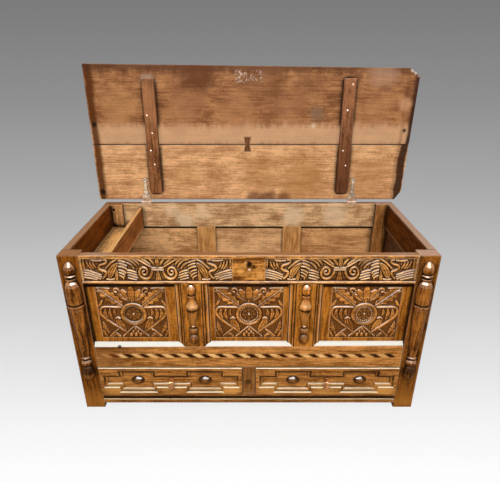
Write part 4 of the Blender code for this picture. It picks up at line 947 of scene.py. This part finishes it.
# The right end is the left one's oak made darker, as painted shade.
for word, shade, top, seed in (("left", 1.0, (158, 116, 80), 21.0), ("right", 0.80, dry_top, 22.5)):
    for piece, light, dark in (
        ("top_rail", (148, 82, 22), (76, 36, 5)),
        ("lower_board", (134, 72, 18), (72, 34, 4)),
        ("panel", (130, 72, 18), (72, 36, 5)),
    ):
        light, dark = [tuple(shade * c for c in colour) for colour in (light, dark)]
        name = f"{word}_end_{piece}"
        dress(name, oak(name, "Y", light, dark, reach=0.05, corner_shade=0.7, top=top, seed=seed))
back_low, back_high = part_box("back_top_rail")
shadow_under_rail = back_low.z - 0.006
bare_patches = [
    ((case_x + x, back_low.y, back_high.z - drop), reach, (238, 210, 170), strength)
    for x, drop, reach, strength in (
        (-0.31, 0.085, 0.06, 0.70), (-0.22, 0.045, 0.05, 0.45), (0.21, 0.060, 0.07, 0.60),
        (0.41, 0.050, 0.08, 0.55), (-0.37, 0.030, 0.05, 0.40),
    )
]
for i, (piece, light, dark) in enumerate((
    ("top_rail", (244, 200, 148), (166, 118, 74)),
    ("lower_board", (214, 164, 110), (150, 100, 54)),
    ("left_panel", (246, 196, 136), (166, 112, 62)),
    ("middle_panel", (240, 192, 138), (184, 132, 84)),
    ("right_panel", (232, 178, 118), (170, 114, 66)),
)):
    name = f"back_{piece}"
    look = oak(
        name, "X", light, dark, contrast=1.6, reach=0.04, corner_shade=0.6, wear=0.2, roughness=0.62,
        top=bare_top, streak=0.6, mottle=1.5, seed=25 + i,
    )
    if piece == "top_rail":
        look = blotched(look, bare_patches, 24.0)
    if "panel" in piece:
        # A painted shadow in the gap under the back top rail.
        look = painted_lines(look, "Z", (shadow_under_rail,), 0.0105, 1.0)
    dress(name, look)
for word, seed in (("left", 31.0), ("right", 32.0)):
    dry(
        f"back_{word}_muntin", "Z", (228, 170, 102), (162, 106, 54), contrast=1.2, corner_shade=0.7,
        roughness=0.62, seed=seed,
    )
dry("chest_floor", "X", (190, 140, 90), (136, 88, 46), reach=0.05, roughness=0.65, seed=34)
dry(
    "till_floor", "Y", (240, 176, 96), (108, 58, 16), contrast=2.2, reach=0.05, corner_shade=0.7,
    roughness=0.6, mottle=1.8, seed=35,
)
dry(
    "till_wall", "Y", (192, 126, 64), (124, 74, 33), contrast=1.4, corner_shade=0.7, wear=0.4,
    roughness=0.6, top=(220, 168, 104), seed=36,
)

# Drawers: oak fronts with a mitred moulding round a blocked field and two egg bosses,
# lapped on plain dry boards. They slide on runners, either side of an upright.
boss_share, boss_half_width, boss_half_height = 0.475, 0.0285, 0.0205
boss_proud, block_inset, block_drop, quirk_half = 0.0015, 0.055, 0.046, 0.004
egg_shaded_rim, egg_lit_middle = rgb(70, 38, 14), rgb(134, 84, 32)
for word, seed in (("left", 41.0), ("right", 43.0)):
    front = f"{word}_drawer_front"
    low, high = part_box(front)
    middle, half_width = (low + high) / 2, (high.x - low.x) / 2
    block = half_width - block_inset
    look = oak(
        front, "X", (218, 148, 74), (120, 68, 22), reach=0.015, wear=0.4, roughness=0.30,
        coat=0.22, slope=0.7, seed=seed,
    )
    look = blotched(look, [
        ((middle.x + x, low.y, middle.z - block_drop), 0.06, (238, 168, 84), strength)
        for x, strength in ((-block, 0.5), (0.0, 0.35), (block, 0.65))
    ], 25.0)
    spot, facing, tone = opened(look)
    facing, height = part(facing, "Z"), part(spot, "Z")
    depth = maths("SUBTRACT", part(spot, "Y"), low.y + boss_proud)
    quirk = (middle.z - quirk_half, middle.z + quirk_half, 0.25, 0.75)
    # The moulding's painted shade in the quirk, painted light on the upward face, a painted highlight
    # along the bead and painted shade at the foot, by depth and by height or facing.
    for depths, guide, strengths, colour in (
        ((0.0026, 0.0036, 0.0052, 0.0062), height, quirk, grime_and_shade),
        ((0.0036, 0.0046, 0.0122, 0.0128), facing, (0.08, 0.35, 0.0, 0.8), rgb(172, 142, 100)),
        ((0.0001, 0.0004, 0.0014, 0.0026), facing, (0.08, 0.20, 0.0, 0.95), rgb(255, 246, 214)),
        ((0.0090, 0.0110, 0.0123, 0.0126), facing, (-0.1, 0.1, 0.7, 0.0), grime_and_shade),
    ):
        tone = mix(band(depth, *depths), tone, colour, ramp(guide, *strengths))
    for side in (-1, 1):
        centre = (middle.x + side * half_width * boss_share, 0.0, middle.z)
        away = vectors("SUBTRACT", spot, centre)
        away = vectors("MULTIPLY", away, (1 / boss_half_width, 0.0, 1 / boss_half_height))
        away = vectors("LENGTH", away)
        on_boss = ramp(away, 0.88, 1.02, 1.0, 0.0)
        # The egg is painted lit in its middle and shaded towards its rim.
        egg_shading = mix(ramp(away, 0.25, 0.80, 1.0, 0.0), egg_shaded_rim, egg_lit_middle)
        tone = mix(on_boss, tone, egg_shading)
        waxed(on_boss, 2.8)
    dress(front, coloured(look, tone))
    for i, (piece, along) in enumerate((
        ("left_side", "Y"), ("right_side", "Y"), ("bottom", "X"), ("back", "X")
    )):
        dry(
            f"{word}_drawer_{piece}", along, (196, 146, 94), (140, 92, 50), wear=0.3, roughness=0.68,
            seed=seed + i,
        )
old_stain = ((case_x - 0.002, case_front, 0.138), 0.020, (62, 38, 18), 0.75)
divider_look = oak("drawer_divider", "Z", (176, 118, 60), (108, 62, 26), seed=46)
dress("drawer_divider", blotched(divider_look, [old_stain], 50.0))
for i, word in enumerate(("left", "centre", "right")):
    dry(f"{word}_drawer_runner", "Y", (180, 130, 80), (124, 80, 42), roughness=0.7, seed=48 + i)


# Drop handles: cast roses with staples through the drawer fronts, and pear drops that
# swing on the staples. Old brass, brown with tarnish and brighter where it is rubbed.
def metal(name, light, dark, metallic, roughness, scale, wear=0.5):
    """A patchy old metal, soiled and with painted shade in its corners."""
    look = bpy.data.materials.new(name)
    look.use_nodes = True
    tree = look.node_tree
    shader = tree.nodes["Principled BSDF"]
    spot = node(tree, "ShaderNodeTexCoord").outputs["Object"]
    patch = noise(spot, scale, 5.0, 0.65)
    tone = mix(ramp(patch, wear - 0.12, wear + 0.12), rgb(*dark), rgb(*light))
    shade_and_wear = placed(tree, corner_shade_and_edge_wear, Vector=spot, Reach=0.008)
    tone = mix(shade_and_wear["Corner"], tone, grime_and_shade, 0.8)
    tree.links.new(tone, shader.inputs["Base Color"])
    rough = ramp(patch, 0.3, 0.7, roughness + 0.15, roughness)
    tree.links.new(rough, shader.inputs["Roughness"])
    dents = noise(spot, scale * 4, 3.0)
    ripple = node(tree, "ShaderNodeBump", None, Height=dents, Strength=0.3, Distance=0.0005)
    tree.links.new(ripple.outputs[0], shader.inputs["Normal"])
    shader.inputs["Metallic"].default_value = metallic
    return look


brass = metal("old_brass", (214, 148, 92), (108, 62, 32), 0.8, 0.30, 120.0)
for word in ("left", "right"):
    dress(f"{word}_drop", brass)
    dress(f"{word}_drop_mount", brass)

# Lid: two wide boards with a butterfly key across the seam, and two nailed battens.
# Dry oak, scoured pale in bands, stained by nails, and dark along its ends with weathering and painted
# shadow.
lid_joint = next(j for j in frame["joints"] if j["name"] == "lid_close")
lid_axis = Vector(lid_joint["pos_m"])
lid_open = math.radians(lid_joint["range_deg"][1] - 90)
lid_up = Vector((0.0, math.sin(lid_open), math.cos(lid_open)))
rear_low, rear_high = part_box("lid_rear_board")
seam = rear_high.z - lid_axis.z
slant_end = 0.57
slant = (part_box("lid_front_board")[1].x - rear_high.x) / (slant_end - seam)
scar_x, scar_up = case_x + 0.004, 0.564
pale_band, dark_top = (0.250, 0.290, 0.338, 0.380), (0.560, 0.600)
left_strip, stray_strip = (0.000, 0.010, 0.026, 0.048), (0.034, 0.044, 0.048, 0.060)


def on_lid(x, up, proud=0.0):
    """A point on the lid's inner face: across, up from the hinge axis and proud of the face."""
    inwards = Vector((0.0, -lid_up.z, lid_up.y))
    return Vector((case_x + x, lid_axis.y, lid_axis.z)) + lid_up * up + inwards * proud


# Stains and bare places, each across and up from the hinge, with a reach, a colour and a strength.
lid_marks = (
    (0.304, 0.410, 0.045, (136, 104, 78), 0.75), (0.290, 0.356, 0.016, (226, 206, 176), 0.5),
    (-0.696, 0.362, 0.018, (30, 15, 6), 0.95), (-0.697, 0.050, 0.022, (30, 15, 6), 0.95),
    (0.703, 0.335, 0.016, (30, 15, 6), 0.95), (0.706, 0.590, 0.016, (230, 212, 200), 0.85),
    (0.722, 0.580, 0.014, (230, 212, 200), 0.85), (0.737, 0.568, 0.013, (230, 212, 200), 0.85),
    (-0.440, 0.545, 0.040, (216, 186, 160), 0.5), (0.470, 0.560, 0.030, (96, 54, 26), 0.6),
    (0.700, 0.500, 0.040, (92, 46, 26), 0.6), (0.250, 0.520, 0.110, (124, 78, 44), 0.45),
    (-0.250, 0.515, 0.150, (122, 76, 45), 0.45), (0.080, 0.520, 0.160, (120, 74, 43), 0.50),
    (-0.300, 0.410, 0.100, (178, 124, 82), 0.40), (-0.050, 0.415, 0.120, (176, 122, 80), 0.40),
    (0.190, 0.410, 0.090, (174, 120, 80), 0.35),
    (-0.580, 0.440, 0.110, (200, 144, 92), 0.40), (0.570, 0.430, 0.120, (190, 132, 88), 0.35),
    (0.250, 0.090, 0.150, (176, 118, 58), 0.55), (0.060, 0.130, 0.110, (178, 122, 64), 0.45),
    (-0.300, 0.130, 0.090, (196, 138, 80), 0.40), (0.560, 0.120, 0.120, (182, 122, 68), 0.50),
    (0.730, 0.470, 0.040, (74, 36, 18), 0.70), (0.720, 0.385, 0.030, (66, 32, 14), 0.65),
    (0.734, 0.545, 0.045, (84, 44, 26), 0.70), (0.696, 0.450, 0.040, (214, 160, 118), 0.55),
    (0.030, 0.010, 0.055, (100, 56, 28), 0.70), (0.095, 0.010, 0.060, (92, 50, 24), 0.75),
    (0.160, 0.010, 0.050, (104, 60, 30), 0.65), (-0.220, 0.575, 0.100, (92, 48, 16), 0.75),
    (0.580, 0.580, 0.090, (196, 152, 124), 0.45),
)


def lid_oak(name, light, dark, right_strip, seed):
    """Dry oak with the marks of its use on the inner face."""
    look = oak(
        name, "X", light, dark, contrast=1.4, roughness=0.55, streak=0.60, mottle=1.2, seed=seed
    )
    spot, _, tone = opened(look)
    outside = mix(0.6, tone, rgb(112, 62, 24))
    x = part(spot, "X")
    level = maths("SUBTRACT", part(spot, "Z"), lid_axis.z)
    frayed = noise(spot, 14.0, 5.0, 0.6)
    ragged = noise(vectors("MULTIPLY", spot, (4.0, 1.0, 1.0)), 9.0, 6.0, 0.7)
    up = wavering(level, ragged, 0.07)
    tone = mix(band(up, *pale_band), tone, rgb(224, 176, 132), 0.72)
    right_end = maths("MULTIPLY_ADD", level, slant, rear_high.x - slant * seam)
    from_right = maths("SUBTRACT", right_end, x)
    from_left = maths("SUBTRACT", x, rear_low.x)
    # Dark strips along the ends: weathered wood with painted shadow over it.
    for inset, strip, strength, colour in (
        (from_left, left_strip, 0.92, (86, 40, 0)),
        (from_right, right_strip, 0.95, (50, 22, 6)),
        (from_right, stray_strip, 0.35, (96, 52, 22)),
    ):
        inset = wavering(inset, frayed, 0.024)
        tone = mix(band(inset, *strip), tone, rgb(*colour), strength)
    tone = mix(ramp(up, *dark_top, 0.0, 0.75), tone, rgb(74, 36, 14))
    tone = mix(ramp(apart(level, seam), 0.0016, 0.0034, 0.92, 0.0), tone, grime_and_shade)
    scar = maths(
        "MULTIPLY", ramp(apart(x, scar_x), 0.050, 0.072, 1.0, 0.0),
        ramp(apart(level, scar_up), 0.016, 0.030, 1.0, 0.0),
    )
    scratches = ramp(noise(spot, 120.0, 2.0, 0.5), 0.54, 0.60)
    scar = maths("MULTIPLY", scar, scratches)
    look = coloured(look, mix(scar, tone, rgb(230, 214, 200), 0.65))
    look = blotched(look, [(on_lid(aside, height), *mark) for aside, height, *mark in lid_marks], 14.0)
    _, facing, tone = opened(look)
    inner = ramp(part(facing, "Y"), -0.6, -0.2, 1.0, 0.0)
    return coloured(look, mix(inner, outside, tone))


for word, light, dark, right_strip, seed in (
    ("rear", (246, 192, 138), (178, 120, 72), (0.0, 0.008, 0.032, 0.046), 51.0),
    ("front", (190, 132, 84), (116, 70, 36), (-0.004, 0.002, 0.012, 0.026), 53.0),
):
    name = f"lid_{word}_board"
    dress(name, lid_oak(name, light, dark, right_strip, seed))
stain_inset = 0.10
for word, light, dark, end, stain, seed in (
    ("left", (162, 104, 62), (78, 42, 17), "top", (0.15, (186, 126, 82), 0.45), 55.0),
    ("right", (166, 108, 68), (94, 56, 31), "foot", (0.20, (92, 48, 24), 0.65), 56.0),
):
    name = f"{word}_lid_batten"
    low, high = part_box(name)
    height = high.z - stain_inset if end == "top" else low.z + stain_inset
    look = oak(name, "Z", light, dark, corner_shade=1.0, roughness=0.5, seed=seed)
    place = (middle_x(name), low.y, height)
    dress(name, blotched(look, [(place, *stain)], 9.0))
dress("butterfly_key", oak("butterfly_key", "Z", (150, 98, 56), (90, 54, 28), seed=58))

# Lid hinges: straps on the lid and leaves let into the back rail, joined by pins.
# Iron under old pale paint, rubbed through in places and soiled at the straps' feet.
for word, wear in (("left", 0.46), ("right", 0.54)):
    pale_iron = metal(f"{word}_pale_iron", (206, 184, 152), (122, 96, 68), 0.15, 0.45, 60.0, wear)
    strap = f"{word}_hinge_strap"
    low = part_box(strap)[0]
    foot = (middle_x(strap), low.y, low.z)
    pale_iron = blotched(pale_iron, [(foot, 0.045, (124, 88, 56), 0.85)], 60.0)
    dress(strap, pale_iron)
    dress(f"{word}_hinge_leaf", pale_iron)

# Nails in the battens and screws in the straps: low domed heads, driven into the
# wood or through the strap. Some are bright and some are dark with rust.
head_sides = 10
head_rings = ((1.0, -0.4), (0.95, 0.35), (0.6, 0.8), (0.2, 1.0))
batten_face, strap_face = 0.0178, -0.0002


def heads(name, places, radius, height, look):
    """Domed heads on the lid, each at a place across, up from the hinge and proud of it."""
    mesh_data = bmesh.new()
    for x, up, proud in places:
        rings = []
        for share, rise in head_rings:
            away = radius * share
            turns = [2 * math.pi * step / head_sides for step in range(head_sides)]
            rings.append([
                mesh_data.verts.new(on_lid(
                    x + away * math.cos(turn), up + away * math.sin(turn), proud + height * rise
                ))
                for turn in turns
            ])
        for low, high in zip(rings, rings[1:]):
            for i in range(head_sides):
                j = (i + 1) % head_sides
                mesh_data.faces.new((low[i], low[j], high[j], high[i]))
        mesh_data.faces.new(rings[0])
        mesh_data.faces.new(rings[-1])
    finish_piece(name, mesh_data, look, "lid", True)


heads("batten_nails", [(x, up, batten_face) for x, up in (
    (-0.453, 0.403), (-0.435, 0.325), (-0.448, 0.248), (-0.435, 0.184),
    (0.449, 0.532), (0.435, 0.424), (0.429, 0.248), (0.446, 0.179),
)], 0.0044, 0.0012, metal("bright_nail", (184, 162, 140), (110, 86, 66), 0.4, 0.5, 200.0))
hinge_x = middle_x("right_hinge_strap") - case_x
strap_places = ((0.0, 0.108), (0.0, 0.060), (-0.009, 0.0395), (0.009, 0.0395))
heads("strap_screws", [
    (side * hinge_x + offset, up, strap_face) for side in (-1, 1) for offset, up in strap_places
], 0.0036, 0.0010, metal("dark_iron", (76, 58, 44), (40, 26, 18), 0.5, 0.5, 200.0))
